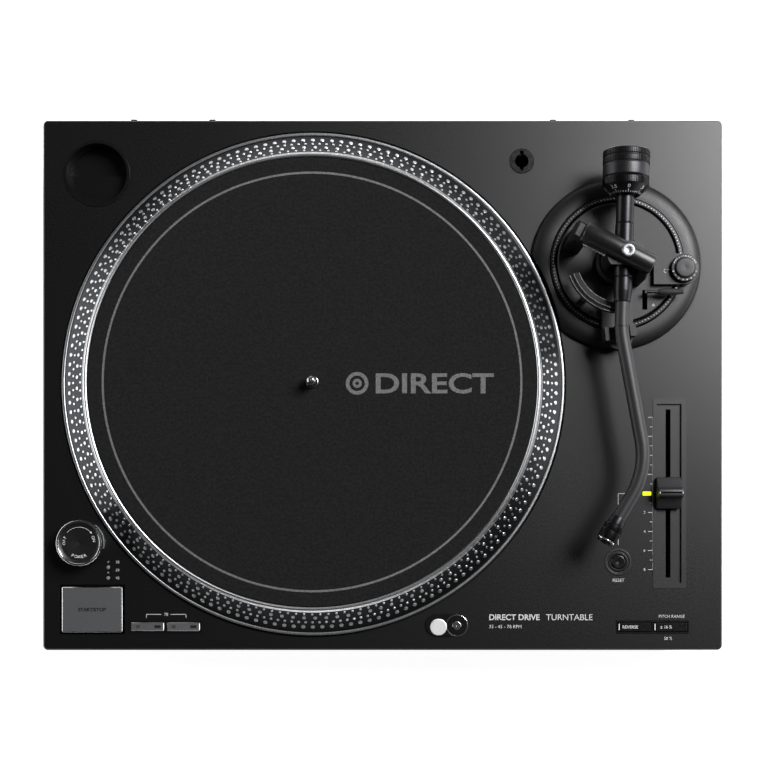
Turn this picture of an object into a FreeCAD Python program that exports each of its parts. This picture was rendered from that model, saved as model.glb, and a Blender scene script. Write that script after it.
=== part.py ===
"""Direct-drive turntable: a parametric assembly of named pieces, in millimetres, standing on z = 0.

The origin is the middle of the footprint at floor level, +X right, +Y to the rear, +Z up.
"""
import FreeCAD, Part
import math
import os
import re

import Sketcher

# Driving dimensions: one cell of the sheet each.
DIMENSIONS = {
    # plinth
    "case_width": 450.0,
    "case_front": -176.0,
    "case_rear": 175.0,
    "corner_radius": 3.2,
    "edge_bevel": 0.9,
    "foot_height": 18.0,
    "chassis_bottom": 32.0,
    "casing_bottom": 56.0,
    "deck_top": 94.0,
    "deck_plate": 6.0,
    "wall": 4.0,
    "step_in": 1.0,
    "rib_width": 3.9,
    "rib_rise": 1.0,
    # platter and drive
    "spindle_x": -46.0,
    "spindle_y": 0.0,
    "well_radius": 167.6,
    "well_floor": 91.0,
    "platter_radius": 166.0,
    "rim_bottom": 92.8,
    "rim_top": 96.0,
    "rim_lip": 1.6,
    "ring_inner": 146.8,
    "ring_outer": 149.6,
    "ring_top": 109.0,
    "platter_floor": 106.2,
    "platter_under": 101.6,
    "hub_bottom": 98.0,
    "spindle_radius": 3.6,
    "collar_radius": 4.2,
    "spindle_top": 121.0,
    "shaft_radius": 5.0,
    "shaft_bottom": 62.0,
    "running_gap": 0.04,
    "magnet_inner": 50.0,
    "magnet_outer": 57.0,
    "magnet_bottom": 86.0,
    "motor_hole": 62.0,
    "motor_outer": 70.0,
    "motor_floor": 78.0,
    "stator_radius": 48.4,
    "mat_radius": 146.2,
    "mat_thick": 2.4,
    # tonearm
    "pivot_x": 154.0,
    "pivot_y": 78.9,
    "arm_axis": 126.0,
    "base_radius": 56.3,
    "base_top": 101.0,
    "base_bore": 44.2,
    "plate_radius": 39.2,
    "plate_bottom": 98.0,
    "plate_top": 103.0,
    "post_radius": 15.8,
    "pillar_radius": 14.4,
    "moat_radius": 18.3,
    "ring_gap": 0.5,
    "tube_radius": 4.5,
    "tube_bore": 3.6,
    "hub_radius": 5.9,
    "stub_radius": 5.6,
    "stub_end": 57.0,
    "weight_radius": 15.0,
    "weight_rear": 66.6,
    "weight_front": 48.9,
    "dial_front": 38.0,
    "collet_radius": 6.4,
    "bridge_bottom": 135.2,
    "bridge_top": 142.8,
    "screw_top": 144.0,
    # controls
    "button_top": 95.4,
    "bezel_top": 94.4,
    "tower_x": -198.2,
    "tower_y": -105.0,
    "tower_radius": 15.0,
    "fader_x": 188.9,
    "fader_y": -72.0,
    "reset_x": 155.9,
    "reset_y": -117.6,
    "lamp_x": 36.9,
    "lamp_y": -160.7,
    "release_x": 49.1,
    "release_y": -159.7,
    "adapter_x": -189.3,
    "adapter_y": 139.6,
    "holder_x": 92.1,
    "holder_y": 147.9,
    "foot_x": 190.0,
    "foot_y": 142.0,
    "foot_radius": 29.0,
    "stud_radius": 5.0,
}

# Middles of the two pairs of long buttons, and how far each button lies from its middle
BUTTON_PAIRS = ((-143.7, -160.4), (178.7, -160.6))
PAIR_REACH = 11.85
# Places across the rear wall of the two signal jacks and the ground screw
JACKS = (140, 154)
GROUND = 164.2
# Directions of the arm's straight rear part, and of its bent parts to it
ARM_YAW = math.radians(1.7)
FORWARD = FreeCAD.Vector(-math.sin(ARM_YAW), -math.cos(ARM_YAW), 0)
ACROSS = FreeCAD.Vector(math.cos(ARM_YAW), -math.sin(ARM_YAW), 0)
MIDDLE_RUN = math.radians(10.4)
HEAD_OFFSET = math.radians(30.3)
HEAD_BACK = FreeCAD.Vector(148.7, -92.6, 0)
# The lift's shaft, on a circle about the arm's pivot
LIFT_ANGLE = math.radians(228)
LIFT_X = f"pivot_x + {32 * math.cos(LIFT_ANGLE):.4f}"
LIFT_Y = f"pivot_y + {32 * math.sin(LIFT_ANGLE):.4f}"
# The bridge's long side, from the x axis
BRIDGE_TURN = -27.0

doc = FreeCAD.newDocument("turntable")
sheet = doc.addObject("Spreadsheet::Sheet", "dims")
WORD = re.compile(r"\b(" + "|".join(DIMENSIONS) + r")\b")
nodes = []


def fill_sheet():
    """Writes each driving dimension into its own cell and names the cell."""
    for row, (alias, value) in enumerate(DIMENSIONS.items(), 1):
        sheet.set(f"A{row}", alias)
        sheet.set(f"B{row}", str(value))
        sheet.setAlias(f"B{row}", alias)
    doc.recompute()


def size(alias):
    """A driving dimension as a number."""
    return float(sheet.get(alias))


def formula(text):
    """An expression in which each alias points at the sheet."""
    return WORD.sub(r"dims.\1", str(text))


def bind(obj, **expressions):
    for key, text in expressions.items():
        obj.setExpression(key, formula(text))
    return obj


def place(obj, at):
    for axis, text in zip("xyz", at):
        obj.setExpression("Placement.Base." + axis, formula(text))
    return obj


def box(low, high, name="block"):
    """A block from its lowest corner to its highest."""
    obj = doc.addObject("Part::Box", name)
    spans = [f"({b}) - ({a})" for a, b in zip(low, high)]
    bind(obj, Length=spans[0], Width=spans[1], Height=spans[2])
    return place(obj, low)


def slab(x, y, low, high, wide, deep, name="slab"):
    """A block centred on x, y."""
    lower = (f"{x} - ({wide})/2", f"{y} - ({deep})/2", low)
    upper = (f"{x} + ({wide})/2", f"{y} + ({deep})/2", high)
    return box(lower, upper, name)


def rod(radius, low, high, x="0", y="0", name="rod"):
    """An upright cylinder."""
    obj = doc.addObject("Part::Cylinder", name)
    bind(obj, Radius=radius, Height=f"({high}) - ({low})")
    return place(obj, (x, y, low))


def cone(radius_low, radius_high, low, high, x="0", y="0", name="taper"):
    """An upright cone."""
    obj = doc.addObject("Part::Cone", name)
    bind(obj, Radius1=radius_low, Radius2=radius_high, Height=f"({high}) - ({low})")
    return place(obj, (x, y, low))


def sector(radius, low, high, start, sweep, x="0", y="0", name="sector"):
    """A slice of an upright cylinder, from a start angle."""
    obj = rod(radius, low, high, x, y, name)
    obj.Angle = sweep
    obj.Placement.Rotation = FreeCAD.Rotation(FreeCAD.Vector(0, 0, 1), start)
    return obj


def group(kind, shapes, name):
    obj = doc.addObject("Part::" + kind, name)
    if kind == "Compound":
        obj.Links = shapes
    else:
        obj.Shapes = shapes
    return obj


def fuse(*shapes, name="joined"):
    return group("MultiFuse", list(shapes), name)


def cut(base, *tools, name="pierced"):
    """The base less every tool."""
    obj = doc.addObject("Part::Cut", name)
    obj.Base = base
    obj.Tool = tools[0] if len(tools) == 1 else fuse(*tools, name="tools")
    return obj


def node(label, obj):
    """Names a finished piece; the label is its file's name."""
    obj.Label = label
    nodes.append(obj)
    return obj


def turned(obj, axis, angle, x=None, y=None, z=None):
    """Turns a piece about an axis through its own base point, and moves it if a place is given."""
    obj.Placement.Rotation = FreeCAD.Rotation(FreeCAD.Vector(*axis), angle)
    if x is not None:
        place(obj, (x, y, z))
    return obj


def origin_plane(body, role):
    return [f for f in body.Origin.OriginFeatures if f.Role == role][0]


def outline(sketch, points):
    """A closed outline of straight runs, each corner held by two distances from the origin."""
    count = len(points)
    start = [FreeCAD.Vector(100 * math.cos(2 * math.pi * i / count),
                            100 * math.sin(2 * math.pi * i / count), 0) for i in range(count)]
    for i in range(count):
        sketch.addGeometry(Part.LineSegment(start[i], start[(i + 1) % count]), False)
    for i in range(count):
        sketch.addConstraint(Sketcher.Constraint("Coincident", i, 2, (i + 1) % count, 1))
    for i, (across, up) in enumerate(points):
        for kind, now, text in (("DistanceX", start[i].x, across), ("DistanceY", start[i].y, up)):
            index = sketch.addConstraint(Sketcher.Constraint(kind, -1, 1, i, 1, now))
            sketch.setExpression(f"Constraints[{index}]", formula(text))


def sketch_on(body, role, points):
    sketch = body.newObject("Sketcher::SketchObject", "outline")
    sketch.AttachmentSupport = (origin_plane(body, role), "")
    sketch.MapMode = "FlatFace"
    outline(sketch, points)
    return sketch


def lathe(points, x="0", y="0", z="0", name="turned"):
    """A body turned about an upright axis from its (radius, height) outline."""
    body = doc.addObject("PartDesign::Body", name)
    sketch = sketch_on(body, "XZ_Plane", points)
    spin = body.newObject("PartDesign::Revolution", "spin")
    spin.Profile = sketch
    spin.ReferenceAxis = (sketch, ["V_Axis"])
    spin.Angle = 360
    body.Tip = spin
    return place(body, (x, y, z))


def rounded_block(low, high, radius, bevel, name="case"):
    """A block with its four upright edges rounded and the rim of its top bevelled."""
    block = box(low, high, name)
    doc.recompute()
    obj = doc.addObject("Part::Fillet", name + "_rounded")
    obj.Base = block
    value = size(radius)
    upright = []
    for number, edge in enumerate(block.Shape.Edges, 1):
        ends = [v.Point for v in edge.Vertexes]
        if abs(ends[0].z - ends[1].z) > 1.0:
            upright.append((number, value, value))
    obj.Edges = upright
    doc.recompute()
    rim = size(bevel)
    top = max(v.Z for v in obj.Shape.Vertexes)
    bevelled = doc.addObject("Part::Chamfer", name + "_bevelled")
    bevelled.Base = obj
    bevelled.Edges = [(number, rim, rim) for number, edge in enumerate(obj.Shape.Edges, 1)
                      if min(v.Z for v in edge.Vertexes) > top - 0.01]
    return bevelled


# ---------------------------------------------------------------- plinth

def control_openings():
    """The cut-outs in the deck for the controls, lamps and wells."""
    low = "well_floor - 10"
    high = "deck_top + 1"
    return [
        rod("motor_hole", low, high, "spindle_x", "spindle_y"),
        rod("well_radius", "well_floor", high, "spindle_x", "spindle_y"),
        rod("base_bore + 1.9", low, high, "pivot_x", "pivot_y"),
        rod(20.9, low, high, "adapter_x", "adapter_y"),
        rod(7.2, low, high, "holder_x", "holder_y"),
        slab("-192.2", "-149.1", "deck_top - 4", high, 43.0, 33.0),
        *[slab(x, y, low, high, 46.4, 7.2) for x, y in BUTTON_PAIRS],
        slab("189.95", "-72.2", low, high, 18.0, 120.0),
        rod(8.2, low, high, "reset_x", "reset_y"),
        rod(6.2, low, high, "lamp_x", "lamp_y"),
        rod(3.6, low, high, "release_x", "release_y"),
        rod(9.0, low, high, "tower_x", "tower_y"),
        slab("175.05", "-72.3", low, high, 5.7, 2.6),
        *[rod(radius, low, high, "-181.7", y) for y, radius in led_row()],
    ]


def led_row():
    """The speed lamps: y position and radius, a small lamp for each number and a larger one between."""
    pitch = 3.53
    return [(-117.6 - pitch * i, 1.2 if i % 2 else 0.6) for i in range(4)]


def make_top_casing():
    half = "case_width/2"
    outer = rounded_block((f"-{half}", "case_front", "casing_bottom"), (half, "case_rear", "deck_top"),
                          "corner_radius", "edge_bevel", "casing")
    inner = box((f"wall - {half}", "case_front + wall", "casing_bottom - 1"),
                (f"{half} - wall", "case_rear - wall", "deck_top - deck_plate"))
    sockets = [slab(x, "case_rear - 3", "casing_bottom + 12", "deck_top - 8", 48.0, 8.0) for x in (-139, 139)]
    ribs = [box((f"{x} - rib_width/2", "case_rear - 0.5", "casing_bottom + 4"),
                (f"{x} + rib_width/2", "case_rear + rib_rise", "deck_top - 1.5"))
            for x in (-165.0, -113.0, 113.0, 165.0)]
    shell = cut(outer, inner, *control_openings(), *sockets)
    node("top_casing", fuse(shell, *ribs))


def make_chassis():
    half = "case_width/2 - step_in"
    outer = box((f"-({half})", "case_front + step_in", "chassis_bottom"),
                (half, "case_rear - step_in", "casing_bottom"))
    inner = box((f"wall - ({half})", "case_front + step_in + wall", "chassis_bottom - 1"),
                (f"{half} - wall", "case_rear - step_in - wall", "casing_bottom + 1"))
    openings = [
        slab(151, "case_rear - 3", 38, 52, 36, 12),
        slab(-150, "case_rear - 3", 36.5, 53.5, 28, 12),
    ]
    jack_panel = slab(151, "case_rear - 10", 36, 54, 44, 3)
    posts = [slab(x, "case_rear - 7", 36, 54, 4, 9) for x in (131, 171)]
    jack_panel = fuse(jack_panel, *posts)
    bored = cut(jack_panel, *[lying_rod(5.05, "case_rear - 14", "case_rear - 5", x, 45) for x in JACKS],
                lying_rod(2.05, "case_rear - 14", "case_rear - 5", GROUND, 45))
    node("chassis", fuse(cut(outer, inner, *openings, name="frame_walls"), bored))


def lying_rod(radius, low, high, x, z, name="rod"):
    """A cylinder along +Y between two y values."""
    obj = doc.addObject("Part::Cylinder", name)
    bind(obj, Radius=radius, Height=f"({high}) - ({low})")
    obj.Placement.Rotation = FreeCAD.Rotation(FreeCAD.Vector(1, 0, 0), -90)
    return place(obj, (x, low, z))


def cross_rod(radius, low, high, y, z, name="rod"):
    """A cylinder along +X between two x values."""
    obj = doc.addObject("Part::Cylinder", name)
    bind(obj, Radius=radius, Height=f"({high}) - ({low})")
    obj.Placement.Rotation = FreeCAD.Rotation(FreeCAD.Vector(0, 1, 0), 90)
    return place(obj, (low, y, z))


def foot_places():
    """Name, x and y of each foot."""
    return [("front_left", "-foot_x", "-foot_y"), ("front_right", "foot_x", "-foot_y"),
            ("rear_left", "-foot_x", "foot_y"), ("rear_right", "foot_x", "foot_y")]


def make_bottom_cover():
    half = "case_width/2 - step_in"
    outer = box((f"-({half})", "case_front + step_in", "foot_height"),
                (half, "case_rear - step_in", "chassis_bottom"))
    inner = box((f"8 - ({half})", "case_front + step_in + 8", "foot_height + 5"),
                (f"{half} - 8", "case_rear - step_in - 8", "chassis_bottom + 1"))
    bosses = [rod("stud_radius + 5", "foot_height + 1", "chassis_bottom + 4", x, y)
              for _, x, y in foot_places()]
    bores = [rod("stud_radius + running_gap", "foot_height - 1", "chassis_bottom + 5", x, y)
             for _, x, y in foot_places()]
    standoffs = [rod(3.0, "foot_height + 4", "chassis_bottom", x, y) for x in (40, 130) for y in (-60, 20)]
    standoffs += [rod(3.0, "foot_height + 4", "chassis_bottom", x, y) for x in (-180, -120)
                  for y in (45, 115)]
    vents = [slab(x, 0, "foot_height - 1", "foot_height + 6", 3, 60) for x in range(-40, 50, 10)]
    holes = [rod(1.7, "foot_height - 1", "chassis_bottom", x, y) for x, y in screw_places()]
    tray = cut(outer, inner, *vents)
    node("bottom_cover", cut(fuse(tray, *bosses, *standoffs), *bores, *holes))
    screws = [cut(fuse(rod(3.0, "foot_height - 1.6", "foot_height - 0.001", x, y),
                       rod(1.6, "foot_height - 0.5", "chassis_bottom - 2", x, y)),
                  slab(x, y, "foot_height - 2", "foot_height - 1", 0.9, 4)) for x, y in screw_places()]
    node("cover_screws", group("Compound", screws, "screws"))


def screw_places():
    """The screws through the base: along the front, the rear and each side."""
    return ([(x, y) for x in (-120, 0, 120) for y in (-160, 159)]
            + [(x, y) for x in (-214, 214) for y in (-60, 60)])


def make_feet():
    for name, x, y in foot_places():
        pad = lathe([("stud_radius + 1", 0), ("foot_radius - 3", 0), ("foot_radius", 2.5),
                     ("foot_radius", "foot_height - 5"),
                     ("foot_radius - 4", "foot_height - 2"), ("stud_radius", "foot_height - 2"),
                     ("stud_radius", "chassis_bottom + 3"), (0.5, "chassis_bottom + 3"), (0.5, 4),
                     ("stud_radius + 1", 4)],
                    x, y, name="foot_" + name + "_body")
        node("foot_" + name, pad)


# ---------------------------------------------------------------- drive

def make_drive():
    x, y = "spindle_x", "spindle_y"
    node("platter", lathe([
        ("collar_radius + 0.1", "hub_bottom"), (24, "hub_bottom"), (28, "platter_under"),
        (134, "platter_under"),
        (143, "rim_bottom + 2"), (144, "rim_bottom"), ("platter_radius", "rim_bottom"),
        ("platter_radius", "rim_top"),
        ("platter_radius - rim_lip", "rim_top"), ("platter_radius - rim_lip - 0.4", "rim_top - 0.5"),
        ("ring_outer + 0.5", "ring_top - 2"), ("ring_outer", "ring_top"), ("ring_inner", "ring_top"),
        ("ring_inner - 0.3", "platter_floor"), ("collar_radius + 0.1", "platter_floor")], x, y))
    node("slip_mat", lathe([
        ("collar_radius + 0.3", 0), ("mat_radius", 0), ("mat_radius", "mat_thick"),
        ("collar_radius + 0.3", "mat_thick")], x, y, "platter_floor"))
    node("spindle", lathe([
        ("0.4", "shaft_bottom"), ("shaft_radius", "shaft_bottom"), ("shaft_radius", "hub_bottom"),
        ("collar_radius", "hub_bottom"), ("collar_radius", "platter_floor + mat_thick + 0.2"),
        ("spindle_radius", "platter_floor + mat_thick + 0.2"), ("spindle_radius", "spindle_top - 3"),
        ("spindle_radius - 0.7", "spindle_top - 1.2"), ("spindle_radius - 2.2", "spindle_top"),
        ("0.4", "spindle_top")], x, y))
    node("rotor_magnet", lathe([
        ("magnet_inner", "magnet_bottom"), ("magnet_outer", "magnet_bottom"),
        ("magnet_outer", "platter_under"),
        ("magnet_inner", "platter_under")], x, y))
    node("bearing_housing", lathe([
        (0.4, "shaft_bottom - 5"), (7.5, "shaft_bottom - 5"), (9, "shaft_bottom - 4"), (9, "motor_floor - 3"),
        (22, "motor_floor"), ("motor_outer", "motor_floor"), ("motor_outer", "deck_top - deck_plate"),
        ("motor_outer - 3", "deck_top - deck_plate"), ("motor_outer - 3", "motor_floor + 3"),
        (9, "motor_floor + 3"), (8, "motor_floor + 4"), (8, "hub_bottom - 1.2"),
        ("shaft_radius + running_gap", "hub_bottom - 1.2"), ("shaft_radius + running_gap", "shaft_bottom"),
        (0.4, "shaft_bottom")], x, y))
    ring = cut(rod(20, "motor_floor + 3", "hub_bottom - 3", x, y),
               rod(9.3, "motor_floor + 1", "hub_bottom", x, y))
    poles = []
    for i in range(12):
        arm = box((19, -3.4, 0), ("stator_radius - 3", 3.4, 9))
        shoe = box(("stator_radius - 5", -8, -1), ("stator_radius - 1.5", 8, 10))
        pole = fuse(arm, shoe)
        pole.Placement.Rotation = FreeCAD.Rotation(FreeCAD.Vector(0, 0, 1), 30 * i)
        poles.append(place(pole, (x, y, "motor_floor + 5")))
    node("motor_stator", fuse(ring, *poles))


# ---------------------------------------------------------------- small fixed pieces of the deck

def make_wells():
    x, y = "adapter_x", "adapter_y"
    cup = lathe([(0.4, "deck_top - 14"), (20.8, "deck_top - 14"), (20.8, "deck_top"), (22, "deck_top"),
                 (21.8, "deck_top + 0.5"), (20, "deck_top + 0.5"), (20, "deck_top - 7.7"),
                 (19.2, "deck_top - 7.7"),
                 (19.2, "deck_top - 12"), (0.4, "deck_top - 12")], x, y)
    floor = cut(rod(20, "deck_top - 12.5", "deck_top - 7.7", x, y),
                box(("adapter_x - 25", "adapter_y", "deck_top - 13"),
                    ("adapter_x + 25", "adapter_y + 25", "deck_top")))
    node("adapter_well", fuse(cup, floor))
    x, y = "holder_x", "holder_y"
    flange = lathe([(4.5, "deck_top - 18"), (7.1, "deck_top - 18"), (7.1, "deck_top"), (8.35, "deck_top"),
                    (8.0, "deck_top + 0.5"), (4.5, "deck_top + 0.5")], x, y)
    keyway = slab(x, y, "deck_top - 3", "deck_top + 1", 2.4, 13.2)
    node("headshell_holder", cut(flange, keyway))


def make_hinge_sockets():
    blocks = []
    for x in (-139, 139):
        block = slab(x, "case_rear - 6", "casing_bottom + 12.3", "deck_top - 8.3", 47.4, 11.4)
        slot = slab(x, "case_rear - 4", "casing_bottom + 18", "deck_top - 10", 36, 6)
        mouth = slab(x, "case_rear - 4.2", "casing_bottom + 18", "deck_top - 14", 30, 12)
        blocks.append(cut(block, slot, mouth))
    node("hinge_sockets", group("Compound", blocks, "sockets"))


def make_bezels():
    """Frames that the buttons and the fader work through."""
    low = "deck_top - 5"
    frames = []
    for x, y in BUTTON_PAIRS:
        flange = slab(x, y, "deck_top + 0.01", "bezel_top", 48.2, 8.9)
        tub = slab(x, y, low, "deck_top + 0.1", 46.2, 7.0)
        holes = [slab(x + side * PAIR_REACH, y, "deck_top - 4.2", "deck_top + 1", 22.8, 6.5)
                 for side in (-1, 1)]
        frames.append(cut(fuse(flange, tub), *holes))
    node("button_bezels", group("Compound", frames, "frames"))
    node("reset_bezel", lathe([
        (0.4, low), (8.1, low), (8.1, "deck_top + 0.01"), (9.1, "deck_top + 0.01"), (8.8, "bezel_top"),
        (7.5, "bezel_top"),
        (7.2, "deck_top"), (6.6, "deck_top"), (6.3, "bezel_top"), (5.0, "bezel_top"), (5.0, "deck_top - 4"),
        (0.4, "deck_top - 4")], "reset_x", "reset_y"))
    flange = slab("189.95", "-72.2", "deck_top + 0.01", "bezel_top", 21.9, 125.6)
    tub = slab("189.95", "-72.2", "deck_top - 4", "deck_top + 0.1", 17.8, 119.8)
    recess = slab("189.65", "-72.15", "deck_top - 1.4", "deck_top + 1", 16.4, 118.4)
    slot = slab("189.3", "-72.25", "deck_top - 6", "deck_top + 1", 3.2, 111.5)
    node("pitch_plate", cut(fuse(flange, tub), recess, slot))
    track = slab("189.3", "-72.25", 74, "deck_top - 6.2", 14, 132)
    groove = slab("189.3", "-72.25", 79, "deck_top - 6", 3.4, 114)
    node("pitch_potentiometer", cut(track, groove))


def make_lamp():
    oval = fuse(slab("(lamp_x + release_x)/2 - 1.5", "-159.4", "deck_top + 0.01", "deck_top + 0.8", 13.3, 15),
                rod(7.5, "deck_top + 0.01", "deck_top + 0.8", "lamp_x - 1", "-159.4"),
                rod(7.5, "deck_top + 0.01", "deck_top + 0.8", "release_x - 1", "-159.4"))
    sleeves = fuse(rod(6.1, "deck_top - 26", "deck_top + 0.1", "lamp_x", "lamp_y"),
                   rod(3.5, "deck_top - 8", "deck_top + 0.1", "release_x", "release_y"))
    node("lamp_plate", cut(fuse(oval, sleeves), rod(5.6, "deck_top - 24", "deck_top + 2", "lamp_x", "lamp_y"),
                           rod(3.1, "deck_top - 5", "deck_top + 2", "release_x", "release_y")))
    post = rod(5.5, "deck_top - 23", "deck_top + 1.4", "lamp_x", "lamp_y")
    lens = turned(rod(1.0, 0, 3), (1, 0, 0), -90, "lamp_x", "lamp_y + 3.5", "deck_top - 4")
    node("target_lamp", cut(post, lens))
    node("lamp_button", rod(3.05, "deck_top - 3", "deck_top + 1.6", "release_x", "release_y"))


def make_strobe_tower():
    x, y = "tower_x", "tower_y"
    tower = lathe([(0.4, "deck_top - 14"), (8.8, "deck_top - 14"), (8.8, "deck_top"),
                   ("tower_radius - 0.2", "deck_top"),
                   ("tower_radius - 0.2", "deck_top + 8.7"), (0.4, "deck_top + 8.7")], x, y)
    window = cut(sector(20, "deck_top + 1.5", "deck_top + 7.5", -15, 70, x, y),
                 rod(9, "deck_top", "deck_top + 9", x, y))
    node("strobe_tower", cut(tower, window))
    lens = cut(sector("tower_radius - 0.1", "deck_top + 1.6", "deck_top + 7.4", -14.5, 69, x, y),
               rod("tower_radius - 2.6", "deck_top", "deck_top + 9", x, y))
    node("strobe_lens", lens)
    node("power_knob", lathe([
        (0.4, "deck_top + 9"), ("tower_radius", "deck_top + 9"), ("tower_radius", "deck_top + 13.2"),
        ("tower_radius - 0.8", "deck_top + 14"), ("tower_radius - 2", "deck_top + 14"),
        ("tower_radius - 3", "deck_top + 12.8"), (0.4, "deck_top + 12.3")], x, y))


def make_lamps_and_electronics():
    domes = [rod(radius - 0.05, "deck_top - 4", "deck_top + 0.25", "-181.7", y) for y, radius in led_row()]
    bar = slab("175.05", "-72.3", "deck_top - 4", "deck_top + 0.25", 5.6, 2.5)
    node("indicator_leds", group("Compound", domes + [bar], "leds"))
    low = "chassis_bottom"
    board = slab(85, -20, low, "chassis_bottom + 1.6", 110, 100)
    chips = [slab(x, y, "chassis_bottom + 1.6", high, w, d)
             for x, y, w, d, high in ((60, -30, 18, 18, 36), (95, -10, 12, 12, 36), (115, -40, 20, 24, 45),
                                      (60, 10, 30, 10, 41))]
    node("main_board", fuse(board, *chips))
    supply = slab(-150, 80, low, "chassis_bottom + 1.6", 80, 90)
    core = slab(-150, 84, "chassis_bottom + 1.6", "chassis_bottom + 30", 52, 44)
    coils = slab(-150, 84, "chassis_bottom + 5", "chassis_bottom + 26", 36, 60)
    node("power_supply", fuse(supply, core, coils))
    wires = slab(-185, -135, "chassis_bottom + 30", "chassis_bottom + 31.6", 60, 70)
    switches = [slab(x, y, "chassis_bottom + 31.6", "chassis_bottom + 36", 8, 8)
                for x, y in ((-192, -149), (-160, -160))]
    node("control_board", fuse(wires, *switches))


def make_connectors():
    barrels = []
    for x in JACKS:
        barrel = fuse(lying_rod(5.0, "case_rear - 13.5", "case_rear - 11.501", x, 45),
                      lying_rod(4.2, "case_rear - 20", "case_rear - 1", x, 45))
        barrels.append(cut(barrel, lying_rod(3.3, "case_rear - 10", "case_rear", x, 45)))
    pins = [lying_rod(1.6, "case_rear - 10.5", "case_rear - 3", x, 45) for x in JACKS]
    node("phono_jacks", group("Compound", [fuse(b, p) for b, p in zip(barrels, pins)], "jacks"))
    post = fuse(lying_rod(2.0, "case_rear - 14", "case_rear - 3", GROUND, 45),
                lying_rod(3.4, "case_rear - 8.4", "case_rear - 5", GROUND, 45))
    node("ground_terminal", post)
    inlet = slab(-150, "case_rear - 8", 36.6, 53.4, 27.8, 13.8)
    hollow = slab(-150, "case_rear - 4", 39, 51, 21, 14)
    blades = [slab(x, "case_rear - 7.5", 44, 46, 1, 8) for x in (-154, -146)]
    node("mains_inlet", fuse(cut(inlet, hollow), *blades))


# ---------------------------------------------------------------- buttons and fader

def make_buttons():
    low = "deck_top - 4 + 2.2"
    base = slab("-192.2", "-149.1", low, "button_top", 40.0, 30.0)
    doc.recompute()
    node("start_button", chamfered(base, 0.7))
    names = ("speed_button_33", "speed_button_45", "reverse_button", "range_button")
    places = [(x + side * PAIR_REACH, y) for x, y in BUTTON_PAIRS for side in (-1, 1)]
    for name, (x, y) in zip(names, places):
        block = slab(x, y, "deck_top - 2.6", "button_top - 0.3", 22.2, 6.0)
        doc.recompute()
        node(name, chamfered(block, 0.35))
    node("reset_button", lathe([(0.4, "deck_top - 2.6"), (4.65, "deck_top - 2.6"), (4.65, "button_top - 0.4"),
                                (4.2, "button_top"), (0.4, "button_top - 0.25")], "reset_x", "reset_y"))


def chamfered(block, width):
    """Bevels the top edges of a block."""
    obj = doc.addObject("Part::Chamfer", "bevelled")
    obj.Base = block
    top = block.Shape.BoundBox.ZMax
    obj.Edges = [(n, width, width) for n, e in enumerate(block.Shape.Edges, 1)
                 if all(abs(v.Z - top) < 1e-6 for v in e.Vertexes)]
    return obj


def make_fader():
    x, y = "fader_x", "fader_y"
    low = "deck_top + 1.0"
    body = doc.addObject("PartDesign::Body", "fader_cap_body")
    sketch = sketch_on(body, "YZ_Plane", [(-10.5, 0), (10.5, 0), (10.5, 2.2), (2.6, 7.2), (2.2, 11),
                                          (-2.2, 11),
                                          (-2.6, 7.2), (-10.5, 2.2)])
    pad = body.newObject("PartDesign::Pad", "pad")
    pad.Profile = sketch
    pad.Length = 16
    pad.Midplane = True
    body.Tip = pad
    place(body, (x, y, low))
    node("fader_cap", fuse(body, slab("189.3", y, 81, "deck_top + 1.2", 2.4, 8)))


# ---------------------------------------------------------------- tonearm support

def make_arm_base():
    x, y = "pivot_x", "pivot_y"
    shoulder = lathe([
        ("post_radius + running_gap", 77), (45.7, 77), (45.7, "deck_top"), ("base_radius", "deck_top"),
        ("base_radius", "deck_top + 1.2"), ("base_radius - 0.8", "deck_top + 2.8"),
        ("base_radius - 2.4", "deck_top + 4.3"),
        ("base_radius - 5", "deck_top + 5.5"), ("base_bore + 2", "base_top - 0.4"),
        ("base_bore", "base_top - 0.4"),
        ("base_bore", 81), ("post_radius + running_gap", 81)], x, y)
    node("tonearm_base", cut(shoulder, rod("well_radius", "well_floor", "base_top + 3", "spindle_x",
                                           "spindle_y")))
    ring = lathe([
        ("plate_radius + 2*ring_gap", 84), ("base_bore - 0.3", 84), ("base_bore - 0.3", "base_top"),
        ("base_bore - 0.8", "base_top + 1.3"), ("plate_radius + 2*ring_gap", "base_top + 1.3")], x, y)
    node("height_ring", ring)
    node("arm_platform", make_platform())


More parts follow.
